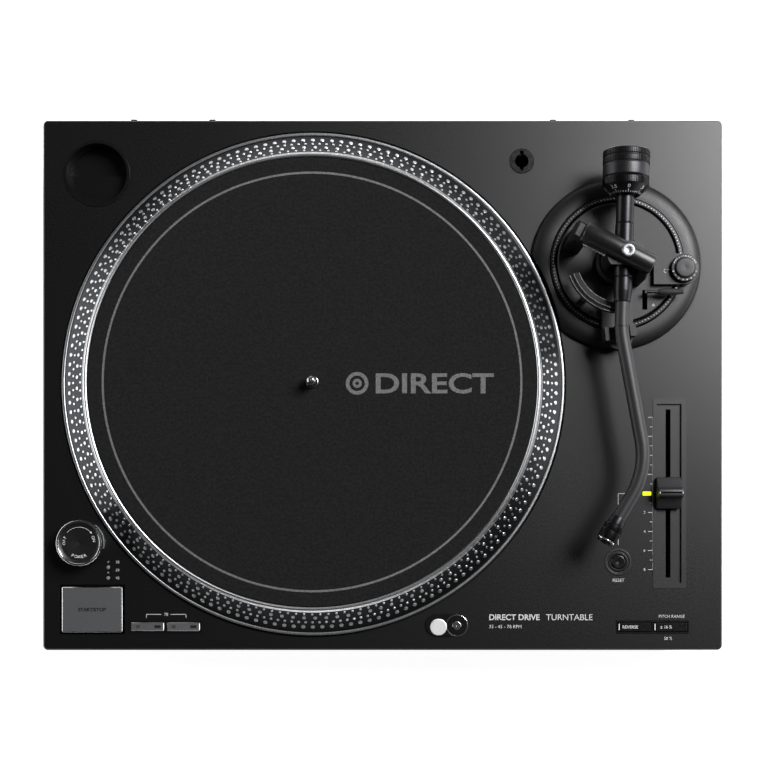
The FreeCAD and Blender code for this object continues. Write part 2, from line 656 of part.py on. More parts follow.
def make_platform():
    """The plate that carries the arm: a post in the base, a moat, a pillar and the raised block."""
    x, y = "pivot_x", "pivot_y"
    body = lathe([
        (9.5, 70), ("post_radius", 70), ("post_radius", "plate_bottom"), ("plate_radius", "plate_bottom"),
        ("plate_radius", "plate_top - 0.6"), ("plate_radius - 0.6", "plate_top"),
        ("moat_radius", "plate_top"),
        ("moat_radius", "plate_top - 3"), ("pillar_radius", "plate_top - 3"),
        ("pillar_radius", "plate_top + 2"),
        (12.5, "plate_top + 3"), (9.5, "plate_top + 3")], x, y)
    pillar_core = cut(rod(10, 92, "plate_top + 3", x, y), rod("4 + running_gap", 91, "plate_top + 5", x, y))
    block = fuse(slab("pivot_x + 32.75", "pivot_y - 4.9", "plate_top", "plate_top + 4.5", 19.5, 20),
                 slab("pivot_x + 27.75", "pivot_y - 4.9", "plate_top - 1", "plate_top + 1", 9.5, 18),
                 rod(10, "plate_top", "plate_top + 4.5", "pivot_x + 42.5", "pivot_y - 4.9"))
    lugs = [slab(f"pivot_x + {dx}", "pivot_y - 24.4", 87.5, "plate_bottom + 0.5", 2.5, 9)
            for dx in (12.5, 23.3)]
    solid = fuse(body, pillar_core, block, *lugs)
    slot = slab("pivot_x + 17.9", "pivot_y - 24.4", 97, "plate_top + 1", 3.3, 13)
    pins = cross_rod(1.54, "pivot_x + 9", "pivot_x + 27", "pivot_y - 24.4", 91)
    lift_bore = rod("2.5 + running_gap", 97, "plate_top + 1", LIFT_X, LIFT_Y)
    knob_bore = rod("2 + running_gap", "plate_top", "plate_top + 5", "pivot_x + 42.5", "pivot_y - 4.9")
    return cut(solid, slot, pins, lift_bore, knob_bore)


def on_pivot(obj, turn, z="0"):
    """Turns a piece about the upright arm axis."""
    obj.Placement.Rotation = FreeCAD.Rotation(FreeCAD.Vector(0, 0, 1), turn)
    return place(obj, ("pivot_x", "pivot_y", z))


def make_bridge():
    """A fixed arch over the bearing, with a half-round top bar and a leg at each end."""
    bar = box((-34.5, -6.5, "bridge_bottom"), (22, 6.5, "bridge_bottom + 2"))
    crown = cross_rod(6.5, -34.5, 22, 0, "bridge_bottom + 1.3")
    keep = box((-34.5, -6.5, "bridge_bottom"), (22, 6.5, "bridge_top"))
    top = doc.addObject("Part::Common", "crown")
    top.Base = crown
    top.Tool = keep
    left = box((-36.5, -6.5, "plate_top"), (-24.5, 6.5, "bridge_bottom + 1"))
    right = box((14.5, -6.5, "plate_top"), (22, 6.5, "bridge_bottom + 1"))
    outer = fuse(bar, top, left, right)
    bore = rod("2.5 + running_gap", "bridge_bottom - 1", "bridge_top + 1")
    arch = cut(outer, bore)
    node("bearing_bridge", on_pivot(arch, BRIDGE_TURN))
    screw = fuse(rod(2.5, "bridge_bottom - 0.1", "screw_top"),
                 rod(4.2, "bridge_top + 0.01", "screw_top - 0.2"))
    slotted = cut(screw, box((-5, -0.4, "screw_top - 0.7"), (5, 0.4, "screw_top + 1")))
    node("pivot_screw", on_pivot(slotted, 20))


def make_rest():
    """The arm rest: a flat bar from the pillar to the front of the base, with a low cradle on its end."""
    bar = fuse(slab("pivot_x - 0.5", 47, "plate_top", "plate_top + 3.2", 20, 32),
               slab("pivot_x - 0.5", 31, "plate_top", "plate_top + 3.2", 20, 4),
               rod(8, "plate_top", "plate_top + 3.2", "pivot_x - 0.5", 30),
               slab("pivot_x - 0.5", 30, "plate_top", "plate_top + 3.2", 19, 8))
    bar = cut(bar, rod("2.6 + 0.3", "plate_top - 1", "plate_top + 5", LIFT_X, LIFT_Y))
    block = box((-9.5, -4.2, "plate_top + 3.2"), (9.5, 4.2, "arm_axis - tube_radius - 0.6"))
    notch = box((-7, -5, "arm_axis - tube_radius - 3.0"), (7, 5, "arm_axis"))
    step = box((6.4, -5, "plate_top + 8"), (10, 5, "arm_axis"))
    cradle = cut(block, notch, step)
    cradle.Placement.Rotation = FreeCAD.Rotation(FreeCAD.Vector(0, 0, 1), 6)
    node("arm_rest", fuse(bar, place(cradle, ("152.6", "30.5", "0"))))
    hook = fuse(box((7.2, -3.6, "plate_top + 9.7"), (9.4, 3.6, "arm_axis + 0.2")),
                box((5.6, -3.6, "arm_axis - 2"), (8, 3.6, "arm_axis + 0.2")),
                lying_rod(1.1, -3.6, 3.6, 8.3, "plate_top + 9.7"))
    hook.Placement.Rotation = FreeCAD.Rotation(FreeCAD.Vector(0, 0, 1), 6)
    node("rest_clip", place(hook, ("152.6", "30.5", "0")))


def make_arm_controls():
    x, y = "pivot_x + 42.5", "pivot_y - 4.9"
    node("anti_skate_knob", fuse(rod(2, "plate_top + 0.5", "plate_top + 6", x, y),
                                 rod(9, "plate_top + 4.8", "plate_top + 8", x, y),
                                 rod(7, "plate_top + 7", "plate_top + 10", x, y)))
    inner = cut(sector(33, "arm_axis - 10", "arm_axis - 8", 198, 65, "pivot_x", "pivot_y"),
                rod(28.5, "arm_axis - 20", "arm_axis", "pivot_x", "pivot_y"))
    rail = cut(sector(36, "arm_axis - 10", "arm_axis - tube_radius - 0.35", 198, 65, "pivot_x", "pivot_y"),
               rod(32.6, "arm_axis - 20", "arm_axis", "pivot_x", "pivot_y"))
    shaft = rod(2.5, "plate_bottom - 4", "arm_axis - 8", LIFT_X, LIFT_Y)
    node("lift_bar", fuse(inner, rail, shaft))


def make_cue_lever():
    """A bent rod that rises from a cross pin under the plate, and a tapered grip on its end."""
    lean = 13.2
    rise = 18.0 / math.cos(math.radians(lean))
    y_top = 18.0 * math.tan(math.radians(lean))
    pin = cross_rod(1.5, "pivot_x + 10.8", "pivot_x + 25", "pivot_y - 24.4", 91)
    stem = rod(1.2, 0, rise)
    stem.Placement.Rotation = FreeCAD.Rotation(FreeCAD.Vector(1, 0, 0), -lean)
    place(stem, ("pivot_x + 17.9", "pivot_y - 24.4", "91"))
    elbow = doc.addObject("Part::Sphere", "elbow")
    elbow.Radius = 1.2
    place(elbow, ("pivot_x + 17.9", f"pivot_y - 24.4 + {y_top:.4f}", "109"))
    level = cross_rod(1.2, "pivot_x + 17.9", "pivot_x + 30", f"pivot_y - 24.4 + {y_top:.4f}", 109)
    grip = doc.addObject("Part::Cone", "grip")
    bind(grip, Radius1=1.7, Radius2=2.5, Height=17)
    grip.Placement.Rotation = FreeCAD.Rotation(FreeCAD.Vector(0, 1, 0), 90)
    place(grip, ("pivot_x + 25.2", f"pivot_y - 24.4 + {y_top:.4f}", "109"))
    node("cue_lever", fuse(pin, stem, elbow, level, grip))


# ---------------------------------------------------------------- tonearm

def pivot_point():
    return FreeCAD.Vector(size("pivot_x"), size("pivot_y"), size("arm_axis"))


def along_arm(obj):
    """Lays a piece that was made along +Z onto the arm, its z = 0 at the bearing and +Z to the head."""
    rotation = FreeCAD.Rotation(ACROSS, FreeCAD.Vector(0, 0, 1).cross(ACROSS), FORWARD, "ZXY")
    obj.Placement.Rotation = rotation
    return place(obj, ("pivot_x", "pivot_y", "arm_axis"))


def make_gimbal():
    """A yoke that turns on the pillar and carries the cross axle."""
    shaft = rod(4, "plate_top - 5 - arm_axis", "plate_top + 6 - arm_axis")
    hub = rod(9, "plate_top + 3.4 - arm_axis", "plate_top + 7 - arm_axis")
    drum = cut(rod(12, "plate_top + 7 - arm_axis", "bridge_bottom - 0.4 - arm_axis"),
               box((-8.2, -15, "plate_top + 10 - arm_axis"), (8.2, 15, "bridge_bottom - 2 - arm_axis")))
    keep = box((-12, -7.5, -30), (12, 7.5, 12))
    yoke = doc.addObject("Part::Common", "yoke")
    yoke.Base = drum
    yoke.Tool = keep
    dimple = rod(0.8, "bridge_bottom - 1.2 - arm_axis", "bridge_bottom - arm_axis")
    bore = cross_rod(1.54, -14, 14, 0, 0)
    solid = cut(fuse(shaft, hub, yoke), bore, dimple)
    node("gimbal", on_pivot(solid, -math.degrees(ARM_YAW), "arm_axis"))
    axle = fuse(cross_rod(1.5, -11.3, 11.3, 0, 0), cross_rod(0.9, -11.8, 11.8, 0, 0))
    node("pitch_axle", on_pivot(axle, -math.degrees(ARM_YAW), "arm_axis"))


def make_arm():
    hub_back = rod("hub_radius", -20, 23)
    hub_front = cone("hub_radius", "hub_radius - 0.8", 23, 30)
    stub = rod("stub_radius", "-stub_end", -20)
    bore = rod("tube_bore", 12, 31)
    seat = rod("tube_radius + running_gap", 23.9, 31)
    cross = turned(rod(1.54, -8, 8), (0, 1, 0), 90)
    place(cross, (-8, 0, 0))
    node("arm_hub", along_arm(cut(fuse(hub_back, hub_front, stub), bore, seat, cross)))
    make_tube()
    socket = cut(fuse(rod("tube_radius + 0.9", 0, 14), rod("tube_radius + 0.2", -5, 0)),
                 rod(4.05, 4, 15), rod(3.7, 2, 5), rod("tube_radius + running_gap", -6, -1), rod(1.5, -2, 3))
    pins = [rod(0.45, 1.9, 3.6, dx, dy) for dx in (-1.7, 1.7) for dy in (-1.7, 1.7)]
    node("headshell_socket", along_head(fuse(socket, *pins)))
    nut = cut(rod("collet_radius", 1, 12.5), rod("tube_radius + 1.2", 0, 13))
    node("collet_nut", along_head(nut))


def along_head(obj):
    """Lays a piece that was made along +Z onto the bent head end of the arm."""
    forward = FreeCAD.Vector(-math.sin(HEAD_OFFSET), -math.cos(HEAD_OFFSET), 0)
    across = FreeCAD.Vector(math.cos(HEAD_OFFSET), -math.sin(HEAD_OFFSET), 0)
    obj.Placement.Rotation = FreeCAD.Rotation(across, FreeCAD.Vector(0, 0, 1).cross(across), forward, "ZXY")
    return place(obj, (HEAD_BACK.x, HEAD_BACK.y, "arm_axis"))


def rounded_path(points, radii):
    """Straight runs joined by tangent arcs, as one wire."""
    edges = []
    last = points[0]
    for i, radius in enumerate(radii, 1):
        before = (points[i] - points[i - 1]).normalize()
        after = (points[i + 1] - points[i]).normalize()
        turn = before.getAngle(after)
        reach = radius * math.tan(turn / 2)
        start = points[i] - before * reach
        end = points[i] + after * reach
        inward = (after - before).normalize()
        centre = points[i] + inward * (radius / math.cos(turn / 2))
        middle = centre - inward * radius
        edges.append(Part.LineSegment(last, start).toShape())
        edges.append(Part.Arc(start, middle, end).toShape())
        last = end
    edges.append(Part.LineSegment(last, points[-1]).toShape())
    return Part.Wire(edges)


def pipe(path, start, direction, radius):
    ring = Part.Wire([Part.makeCircle(radius, start, direction)])
    return path.makePipeShell([ring], True, False)


def make_tube():
    """The S-shaped tube: straight from the hub, a gentle bend out, and a long bend in to the head."""
    pivot = pivot_point()
    head = FreeCAD.Vector(HEAD_BACK.x, HEAD_BACK.y, pivot.z)
    back = FreeCAD.Vector(math.sin(HEAD_OFFSET), math.cos(HEAD_OFFSET), 0)
    start = pivot + FORWARD * 24
    bend_out = pivot + FORWARD * 48.5
    points = [start, bend_out, crossing(bend_out, MIDDLE_RUN, head, HEAD_OFFSET), head + back * 1.2]
    path = rounded_path(points, [70.0, 52.0])
    outer = pipe(path, start, FORWARD, size("tube_radius"))
    inner = pipe(path, start, FORWARD, size("tube_bore"))
    tube = doc.addObject("Part::Feature", "tube")
    tube.Shape = outer.cut(inner)
    tube.Placement = FreeCAD.Placement()
    node("arm_tube", tube)


def crossing(start, bend, head, offset):
    """Where the middle run meets the head run, in plan."""
    run = FreeCAD.Vector(math.sin(bend), -math.cos(bend), 0)
    back = FreeCAD.Vector(math.sin(offset), math.cos(offset), 0)
    gap = head - start
    reach = (gap.x * back.y - gap.y * back.x) / (run.x * back.y - run.y * back.x)
    return start + run * reach


def make_weight():
    sleeve = cut(fuse(rod(8, -62, -40), rod(6.6, "-40", "-dial_front - 0.5")),
                 rod("stub_radius + running_gap", -63, -37))
    node("weight_sleeve", along_arm(sleeve))
    weight = cut(rod("weight_radius", "-weight_rear", "-weight_front"), rod(8.35, -62.3, -40))
    node("counterweight", along_arm(weight))
    dial = cut(fuse(rod("weight_radius", -48.6, -43.2),
                    cone("weight_radius - 0.6", 8.8, -43.2, "-dial_front")),
               rod(8.35, -49, -37))
    node("force_dial", along_arm(dial))


# ---------------------------------------------------------------- build, check and write

def build():
    fill_sheet()
    make_top_casing()
    make_chassis()
    make_bottom_cover()
    make_feet()
    make_drive()
    make_wells()
    make_hinge_sockets()
    make_bezels()
    make_lamp()
    make_strobe_tower()
    make_lamps_and_electronics()
    make_connectors()
    make_buttons()
    make_fader()
    make_arm_base()
    make_bridge()
    make_rest()
    make_arm_controls()
    make_cue_lever()
    make_gimbal()
    make_arm()
    make_weight()
    doc.recompute()


def check():
    for obj in doc.Objects:
        if "Invalid" in obj.State or "Error" in obj.State:
            raise RuntimeError(f"{obj.Label} failed: {obj.State}")
    for obj in nodes:
        if obj.Shape.isNull() or not obj.Shape.isValid() or not obj.Shape.Solids:
            raise RuntimeError(f"{obj.Label} has no valid solid")


def write():
    os.makedirs("parts", exist_ok=True)
    for obj in nodes:
        obj.Shape.exportStep(f"parts/{obj.Label}.step")
        print(obj.Label, len(obj.Shape.Solids), round(obj.Shape.Volume / 1000, 2), "cm3")


build()
check()
write()
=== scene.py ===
"""Direct-drive turntable: the look of each piece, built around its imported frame.

Lengths in this file are millimetres, in the frame of the part: the origin is the middle of the footprint at
floor level, +X right, +Y to the rear, +Z up. They become metres when a mesh is made.
"""

import math

import bmesh
import bpy
import numpy as np
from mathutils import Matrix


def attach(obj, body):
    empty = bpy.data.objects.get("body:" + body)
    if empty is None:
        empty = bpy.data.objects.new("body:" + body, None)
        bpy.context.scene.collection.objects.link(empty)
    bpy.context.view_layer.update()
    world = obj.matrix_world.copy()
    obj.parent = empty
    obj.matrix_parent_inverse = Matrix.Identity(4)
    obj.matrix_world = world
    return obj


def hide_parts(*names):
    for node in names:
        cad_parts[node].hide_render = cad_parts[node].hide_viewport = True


bl_info = {
    "name": "Turntable looks",
    "version": (1, 0, 0),
    "blender": (4, 5, 0),
    "location": "3D View > Sidebar > Turntable",
    "description": "Builds the visible pieces and finishes of a direct-drive turntable",
    "category": "Object",
}

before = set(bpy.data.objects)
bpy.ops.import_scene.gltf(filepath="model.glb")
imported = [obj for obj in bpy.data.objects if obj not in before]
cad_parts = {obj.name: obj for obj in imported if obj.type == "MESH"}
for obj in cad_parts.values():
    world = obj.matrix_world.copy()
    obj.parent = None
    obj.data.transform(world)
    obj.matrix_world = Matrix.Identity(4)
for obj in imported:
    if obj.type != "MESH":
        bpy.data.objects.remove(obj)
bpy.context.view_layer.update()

MM = 0.001
DECK = 94.0
PRINT = 0.03  # how far a print stands over its surface
SOFT_STEPS = 4  # points that soften puts in place of each corner
SPINDLE = np.array([-46.0, 0.0, 0.0])
PIVOT = np.array([154.0, 78.9, 0.0])
ARM_AXIS = 126.0
BEARING = np.array([154.0, 78.9, ARM_AXIS])
HEAD = np.array([148.7, -92.6, ARM_AXIS])
RIM_LOW = np.array([164.0, 95.5])  # the sloping rim runs between these two, each a radius and a height
RIM_HIGH = np.array([150.1, 107.0])
WELL_RADIUS = 167.6
MAT_TOP = 108.6
START_TOP = 95.4
KEY_TOP = 95.1
KEY_PAINT = np.array([0, 0, 0, 0, 1, 1, 1, 1])  # a button's sides, then its bevel and top
PLATFORM = 103.0
BASE_RADIUS = 56.3
START = np.array([-192.2, -149.1, 0.0])
TOWER = np.array([-198.2, -105.0, 0.0])
LAMP = np.array([36.9, -160.7, 0.0])
RELEASE = np.array([49.1, -159.7, 0.0])
RESET = np.array([155.9, -117.6, 0.0])
FADER = np.array([188.9, -72.0, 0.0])
SKATE = np.array([196.5, 74.0, 0.0])
REST = np.array([152.6, 30.5, 0.0])
REST_TURN = math.radians(6)
ARM_YAW = math.radians(1.7)
HEAD_YAW = math.radians(30.3)
MIDDLE_YAW = math.radians(-10.4)
BRIDGE_TURN = math.radians(-27)
TAU = 2 * np.pi


# ---------------------------------------------------------------- shapes

def soften(profile, radius=0.4, steps=SOFT_STEPS):
    """Rounds the corners of a closed outline.

    Each becomes a quadratic curve from one radius before it to one radius after it.
    """
    corner = np.asarray(profile, float)
    back = np.roll(corner, 1, 0) - corner
    on = np.roll(corner, -1, 0) - corner
    back_length = np.linalg.norm(back, axis=1, keepdims=True)
    on_length = np.linalg.norm(on, axis=1, keepdims=True)
    enter = corner + back / back_length * np.minimum(radius, 0.45 * back_length)
    leave = corner + on / on_length * np.minimum(radius, 0.45 * on_length)
    t = np.linspace(0, 1, steps)[None, :, None]
    curve = (1 - t) ** 2 * enter[:, None] + 2 * t * (1 - t) * corner[:, None] + t**2 * leave[:, None]
    return curve.reshape(-1, 2)


def marked(corners, *chosen):
    """The paint of a softened outline with that many corners: 1 from each chosen one to the next, else 0."""
    paint = np.zeros(corners, int)
    paint[list(chosen)] = 1
    return np.repeat(paint, SOFT_STEPS)


def turned(profile, columns=96, cut=0.0):
    """A (radius, height) outline turned about the upright axis: each point is (r cos a, r sin a, h).

    The cut comes off the radius. It is one number, or one for each point of the grid.
    """
    radius, height = np.asarray(profile, float).T
    angle = np.arange(columns) * TAU / columns
    r = radius[:, None] - np.broadcast_to(cut, (len(radius), columns))
    z = np.broadcast_to(height[:, None], r.shape)
    return np.stack([r * np.cos(angle), r * np.sin(angle), z], -1)


def knurled(profile, teeth, depth, low, high):
    """A turned outline with straight grooves in its outer wall, between two heights.

    There the radius falls by the depth wherever the cosine of teeth times a is low. Six columns draw each
    tooth, and the outer wall is what lies within 0.6 mm of the greatest radius.
    """
    radius, height = np.asarray(profile, float).T
    columns = 6 * teeth
    angle = np.arange(columns) * TAU / columns
    groove = depth * (0.5 - 0.5 * np.clip(2.0 * np.cos(teeth * angle), -1, 1))
    outer = (height >= low) & (height <= high) & (radius > radius.max() - 0.6)
    return turned(profile, columns, outer[:, None] * groove)


def swept_sector(profile, start, sweep, rows=48):
    """A closed (radius, height) outline carried round an upright axis by part of a turn, with closed ends."""
    radius, height = np.asarray(profile, float).T
    angle = np.radians(start + np.linspace(0, sweep, rows))[:, None]
    grid = np.stack([radius * np.cos(angle), radius * np.sin(angle), height + 0 * angle], -1)
    return closed_ends(grid)


def closed_ends(grid):
    """Adds a row at each end with every point at that end's middle, which closes it with a fan."""
    first = np.broadcast_to(grid[:1].mean(1, keepdims=True), grid[:1].shape)
    last = np.broadcast_to(grid[-1:].mean(1, keepdims=True), grid[-1:].shape)
    return np.concatenate([first, grid, last])


def rounded_rectangle(wide, deep, corner, steps=5):
    """The outline of a rectangle whose corners are quarter circles, counter-clockwise."""
    turn = np.linspace(0, np.pi / 2, steps)
    quarter = np.arange(4)[:, None] * np.pi / 2 + turn[None, :]
    side = np.array([[1, 1], [-1, 1], [-1, -1], [1, -1]])
    middle = side * [wide / 2 - corner, deep / 2 - corner]
    return (middle[:, None] + corner * np.stack([np.cos(quarter), np.sin(quarter)], -1)).reshape(-1, 2)


def stacked(wide, deep, corner, levels):
    """Rounded rectangles one over another: each level is (inset, height), and the ends are closed.

    A narrow flat margin is laid inside each end, so that the ends are shaded flat.
    """
    levels = [(levels[0][0] + 0.25, levels[0][1]), *levels, (levels[-1][0] + 0.25, levels[-1][1])]
    loops = [
        np.column_stack([outline, np.full(len(outline), height)])
        for inset, height in levels
        for outline in [rounded_rectangle(wide - 2 * inset, deep - 2 * inset, max(corner - inset, 0.05))]
    ]
    return closed_ends(np.stack(loops))


def along(points, origin, yaw):
    """Lays points on a level axis: their z runs forward along it, y is up and x is across."""
    forward = np.array([-math.sin(yaw), -math.cos(yaw), 0.0])
    across = np.array([math.cos(yaw), -math.sin(yaw), 0.0])
    return origin + points[..., :1] * across + points[..., 1:2] * [0, 0, 1.0] + points[..., 2:] * forward


def yawed(points, turn, origin=(0, 0, 0)):
    """Turns points about the upright axis, then moves them."""
    c, s = math.cos(turn), math.sin(turn)
    return points @ np.array([[c, s, 0], [-s, c, 0], [0, 0, 1]]) + np.asarray(origin, float)


def tube(route, radius, columns=32):
    """A round section carried along a level route.

    Each ring is the point plus r cos a sideways plus r sin a upwards. The radius may be one number, or one
    for each point of the route.
    """
    route = np.asarray(route, float)
    direction = np.gradient(route, axis=0)
    direction /= np.linalg.norm(direction, axis=1, keepdims=True)
    side = np.cross(direction, [0, 0, 1.0])
    side /= np.linalg.norm(side, axis=1, keepdims=True)
    up = np.cross(side, direction)
    a = (np.arange(columns) * TAU / columns)[None, :, None]
    r = np.broadcast_to(np.asarray(radius, float), len(route))[:, None, None]
    return closed_ends(route[:, None] + r * (np.cos(a) * side[:, None] + np.sin(a) * up[:, None]))


def grid_faces(rows, columns, ring):
    """The corners of each face of a grid whose columns close round; ring joins the last row to the first."""
    index = np.arange(rows * columns).reshape(rows, columns)
    low = index if ring else index[:-1]
    high = np.roll(index, -1, 0) if ring else index[1:]
    return np.stack([low, np.roll(low, -1, 1), np.roll(high, -1, 1), high], -1).reshape(-1, 4)


def make_mesh(name, points, faces, paint=None, flat=False):
    """A mesh object from faces and points in millimetres.

    Unless it is a flat print, its doubles are merged and its faces are turned outwards.
    """
    mesh = bpy.data.meshes.new(name)
    mesh.from_pydata((np.asarray(points).reshape(-1, 3) * MM).tolist(), [], [list(f) for f in faces])
    if paint is not None:
        mesh.polygons.foreach_set("material_index", np.asarray(paint, np.int32))
    if not flat:
        work = bmesh.new()
        work.from_mesh(mesh)
        bmesh.ops.remove_doubles(work, verts=work.verts, dist=2e-6)
        bmesh.ops.recalc_face_normals(work, faces=work.faces)
        work.to_mesh(mesh)
        work.free()
        mesh.polygons.foreach_set("use_smooth", np.ones(len(mesh.polygons), bool))
        mesh.set_sharp_from_angle(angle=math.radians(34))
    mesh.update()
    obj = bpy.data.objects.new(name, mesh)
    bpy.context.scene.collection.objects.link(obj)
    return obj


def piece(name, grids, materials, body, nodes=(), ring=False, paints=None):
    """One finished piece of one or more grids: made, painted, on its body and standing for its CAD nodes.

    Each paint is one material number for each row of its grid.
    """
    points, faces, paint, base = [], [], [], 0
    for i, grid in enumerate(grids):
        rows, columns = grid.shape[:2]
        quads = grid_faces(rows, columns, ring)
        points.append(grid.reshape(-1, 3))
        faces.append(quads + base)
        base += rows * columns
        row_paint = np.zeros(rows, int) if paints is None else np.asarray(paints[i])
        paint.append(np.repeat(row_paint[: len(quads) // columns], columns))
    obj = make_mesh(name, np.concatenate(points), np.concatenate(faces), np.concatenate(paint))
    for material in materials:
        obj.data.materials.append(material)
    return settle(obj, body, nodes)


def settle(obj, body, nodes=()):
    """Puts a piece on its body, in place of its CAD nodes if it has any."""
    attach(obj, body)
    if nodes:
        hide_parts(*nodes)
    return obj


# ---------------------------------------------------------------- prints

def text_mesh(text, height, bold=0.0):
    """The outline of a word as flat points and faces, its middle at the origin, scaled to that height."""
    curve = bpy.data.curves.new("word", "FONT")
    curve.body = text
    curve.offset = bold
    curve.resolution_u = 4
    holder = bpy.data.objects.new("word", curve)
    bpy.context.scene.collection.objects.link(holder)
    mesh = bpy.data.meshes.new_from_object(holder.evaluated_get(bpy.context.evaluated_depsgraph_get()))
    points = np.zeros(len(mesh.vertices) * 3)
    mesh.vertices.foreach_get("co", points)
    points = points.reshape(-1, 3)
    faces = [list(f.vertices) for f in mesh.polygons]
    bpy.data.objects.remove(holder)
    bpy.data.curves.remove(curve)
    bpy.data.meshes.remove(mesh)
    low, high = points.min(0), points.max(0)
    return (points - (low + high) / 2) * (height / (high[1] - low[1])), faces


def word(text, x, y, height, turn=0.0, anchor=0.5, bold=0.0, stretch=1.0):
    """A word at x, y; anchor 0 starts it there, 0.5 centres it and 1 ends it there."""
    points, faces = text_mesh(text, height, bold)
    points = points * [stretch, 1.0, 1.0]
    points[:, 0] += np.ptp(points[:, 0]) * (0.5 - anchor)
    return yawed(points, math.radians(turn), (x, y, 0)), faces


def curved_word(text, x, y, radius, middle, height, step, inward=False, bold=0.0):
    """Letters spaced by step degrees round a circle, about the middle angle; inward ones read from below."""
    parts = []
    for i, letter in enumerate(text):
        if letter == " ":
            continue
        offset = (i - (len(text) - 1) / 2) * step
        angle = middle + offset if inward else middle - offset
        a = math.radians(angle)
        turn = angle + 90 if inward else angle - 90
        tall = height * (0.14 if letter == "-" else 1.0)
        parts.append(word(letter, x + radius * math.cos(a), y + radius * math.sin(a), tall, turn, bold=bold))
    return parts


def bar(x0, y0, x1, y1, width):
    """A straight printed line."""
    run = np.array([x1 - x0, y1 - y0, 0.0])
    side = np.array([-run[1], run[0], 0.0]) / np.linalg.norm(run) * width / 2
    start, end = np.array([x0, y0, 0.0]), np.array([x1, y1, 0.0])
    return np.array([start - side, end - side, end + side, start + side]), [[0, 1, 2, 3]]


def arc(x, y, inner, outer, start=0.0, sweep=360.0, columns=160):
    """A printed band round a point, between two radii: points at (x + r cos a, y + r sin a)."""
    a = np.radians(start + np.linspace(0, sweep, columns + 1))
    circle = np.stack([np.cos(a), np.sin(a), 0 * a], -1)
    points = np.concatenate([inner * circle, outer * circle]) + [x, y, 0]
    i = np.arange(columns)
    return points, np.stack([i, i + columns + 1, i + columns + 2, i + 1], -1).tolist()


def ink(name, parts, z, material, body):
    """Printed shapes as one flat piece at a height, each face upwards."""
    points, faces, base = [], [], 0
    for part_points, part_faces in parts:
        points.append(part_points + [0, 0, z])
        faces += [[v + base for v in face] for face in part_faces]
        base += len(part_points)
    obj = make_mesh(name, np.concatenate(points), faces, flat=True)
    obj.data.materials.append(material)
    return settle(obj, body)


# ---------------------------------------------------------------- materials

def linear(code):
    """An sRGB hex colour as linear numbers, with alpha."""
    channels = [int(code[i : i + 2], 16) / 255 for i in (1, 3, 5)]
    return tuple(c / 12.92 if c <= 0.04045 else ((c + 0.055) / 1.055) ** 2.4 for c in channels) + (1.0,)


def add(tree, kind, inputs=None, **settings):
    """Adds a shader node with its settings; each input takes a value, or a link where a socket is given."""
    made = tree.nodes.new("ShaderNode" + kind)
    for key, value in settings.items():
        setattr(made, key, value)
    for key, value in (inputs or {}).items():
        if isinstance(value, bpy.types.NodeSocket):
            tree.links.new(value, made.inputs[key])
        else:
            made.inputs[key].default_value = value
    return made


def surface(name, color, roughness, metallic=0.0, grain_mm=0.5, depth_mm=0.01, spread=0.08, shade=None,
            stretch=(1.0, 1.0, 1.0), detail=3.0, **values):
    """A finish with a noise of a real size under it.

    The noise gives the bump, moves the roughness by the spread either way and, where shade is given, mixes
    the colour towards it. A stretch below 1 draws the grain out along that axis.
    """
    material = bpy.data.materials.new(name)
    material.use_nodes = True
    tree = material.node_tree
    shader = tree.nodes["Principled BSDF"]
    shader.inputs["Metallic"].default_value = metallic
    for key, value in values.items():
        shader.inputs[key.replace("_", " ")].default_value = value
    place = add(tree, "TexCoord").outputs["Object"]
    if tuple(stretch) != (1.0, 1.0, 1.0):
        place = add(tree, "Mapping", {"Vector": place, "Scale": stretch}).outputs["Vector"]
    noise = add(tree, "TexNoise", {"Vector": place, "Scale": 1 / (grain_mm * MM),
                                   "Detail": detail}).outputs["Fac"]
    rough = add(tree, "MapRange", {"Value": noise, "From Min": 0.3, "From Max": 0.7,
                                   "To Min": max(roughness - spread, 0.02), "To Max": roughness + spread})
    bump = add(tree, "Bump", {"Height": noise, "Strength": 1.0, "Distance": depth_mm * MM})
    tree.links.new(rough.outputs["Result"], shader.inputs["Roughness"])
    tree.links.new(bump.outputs["Normal"], shader.inputs["Normal"])
    shader.inputs["Base Color"].default_value = linear(color)
    if shade:
        share = add(tree, "MapRange", {"Value": noise, "From Min": 0.35, "From Max": 0.65}).outputs["Result"]
        mixed = add(tree, "Mix", {0: share, 6: linear(color), 7: linear(shade)}, data_type="RGBA")
        tree.links.new(mixed.outputs[2], shader.inputs["Base Color"])
    return material


